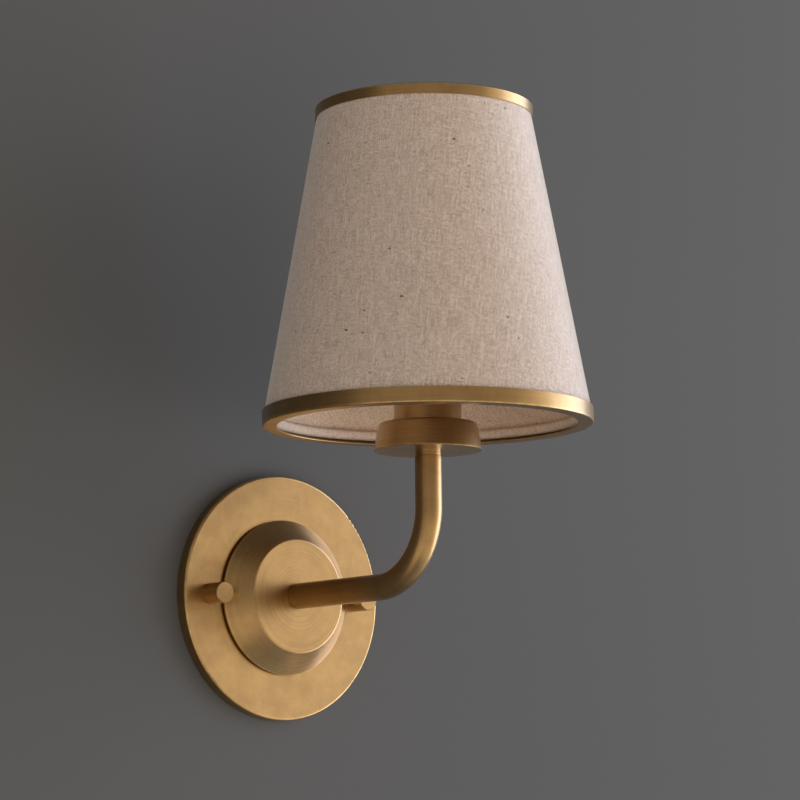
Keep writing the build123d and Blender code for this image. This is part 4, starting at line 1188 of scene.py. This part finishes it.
class WALL_LIGHT_OT_stage(bpy.types.Operator):
    """Build the grey wall and the pale floor, the soft key light, the world and the camera"""

    bl_idname = "wall_light.stage"
    bl_label = "Stage and Camera"

    def execute(self, context):
        stage = context.scene.wall_light_stage
        wall_paint = one_sided("grey wall paint", stage.wall_colour, PLATE_BOX[1].x - OPENING_MARGIN)
        stage_plane("stage_wall", (0, WALL_GAP, 0), (0, -1, 0), stage.wall_reach, wall_paint)
        floor_paint = one_sided("pale floor paint", stage.floor_colour)
        stage_plane("stage_floor", (0, 0, -stage.floor_drop), (0, 0, 1), stage.floor_reach, floor_paint)
        studio_world(stage)
        target = Vector((0, LAMP_AXIS.y / 2, LIT_HEIGHT))
        direction = light_direction(stage.key_turn, stage.key_rise)
        lamp = bpy.data.lights.new("key", "AREA")
        lamp.shape, lamp.size, lamp.size_y = "RECTANGLE", stage.key_width, stage.key_height
        lamp.color = stage.key_colour
        lamp.energy = stage.key_level * pi**2 * stage.key_distance**2
        key = bpy.data.objects.new("key", lamp)
        key.location = target + direction * stage.key_distance
        key.rotation_euler = direction.to_track_quat("Z", "Y").to_euler()
        context.scene.collection.objects.link(key)
        place_camera(context.scene)
        context.scene.view_settings.view_transform = "Standard"
        return {"FINISHED"}


def place_camera(scene):
    """Sets the camera at the photograph's place, from its yaw, pitch and roll."""
    level_share = cos(CAMERA_PITCH)
    forward = Vector((sin(CAMERA_YAW) * level_share, cos(CAMERA_YAW) * level_share, sin(CAMERA_PITCH)))
    level_right = Vector((cos(CAMERA_YAW), -sin(CAMERA_YAW), 0))
    level_up = level_right.cross(forward)
    right = level_right * cos(CAMERA_ROLL) + level_up * sin(CAMERA_ROLL)
    up = level_up * cos(CAMERA_ROLL) - level_right * sin(CAMERA_ROLL)
    data = bpy.data.cameras.new("camera")
    data.lens, data.sensor_width = CAMERA_LENS, CAMERA_SENSOR
    data.clip_start, data.clip_end = 0.05, 50.0
    camera = bpy.data.objects.new("camera", data)
    axes = Matrix((right, up, -forward)).transposed()
    camera.matrix_world = Matrix.Translation(CAMERA_PLACE) @ axes.to_4x4()
    scene.collection.objects.link(camera)
    scene.camera = camera


class WALL_LIGHT_PT_panel(bpy.types.Panel):
    """The wall light's sizes, colours and steps in the sidebar"""

    bl_label = "Wall Light"
    bl_space_type = "VIEW_3D"
    bl_region_type = "UI"
    bl_category = "Wall Light"

    def draw(self, context):
        for name, steps in STEPS.items():
            box = self.layout.box()
            settings = getattr(context.scene, name)
            for key in settings.__annotations__:
                box.prop(settings, key)
            for step in steps:
                box.operator(step.bl_idname)


STEPS = {
    "wall_light_stage": [WALL_LIGHT_OT_stage],
    "wall_light_brass": [
        WALL_LIGHT_OT_brass, WALL_LIGHT_OT_shade_rings, WALL_LIGHT_OT_lampholder, WALL_LIGHT_OT_fittings],
    "wall_light_cloth": [WALL_LIGHT_OT_linen_cover, WALL_LIGHT_OT_linen_lining],
}
SETTINGS = {
    "wall_light_stage": WallLightStage,
    "wall_light_brass": WallLightBrass,
    "wall_light_cloth": WallLightCloth,
}
CLASSES = [*SETTINGS.values(), *(step for steps in STEPS.values() for step in steps), WALL_LIGHT_PT_panel]


def register():
    for item in CLASSES:
        bpy.utils.register_class(item)
    for name, kind in SETTINGS.items():
        setattr(bpy.types.Scene, name, PointerProperty(type=kind))


def unregister():
    for name in SETTINGS:
        delattr(bpy.types.Scene, name)
    for item in reversed(CLASSES):
        bpy.utils.unregister_class(item)


def main():
    """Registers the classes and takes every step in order."""
    register()
    for steps in STEPS.values():
        for step in steps:
            category, name = step.bl_idname.split(".")
            getattr(getattr(bpy.ops, category), name)()


if __name__ == "__main__":
    main()
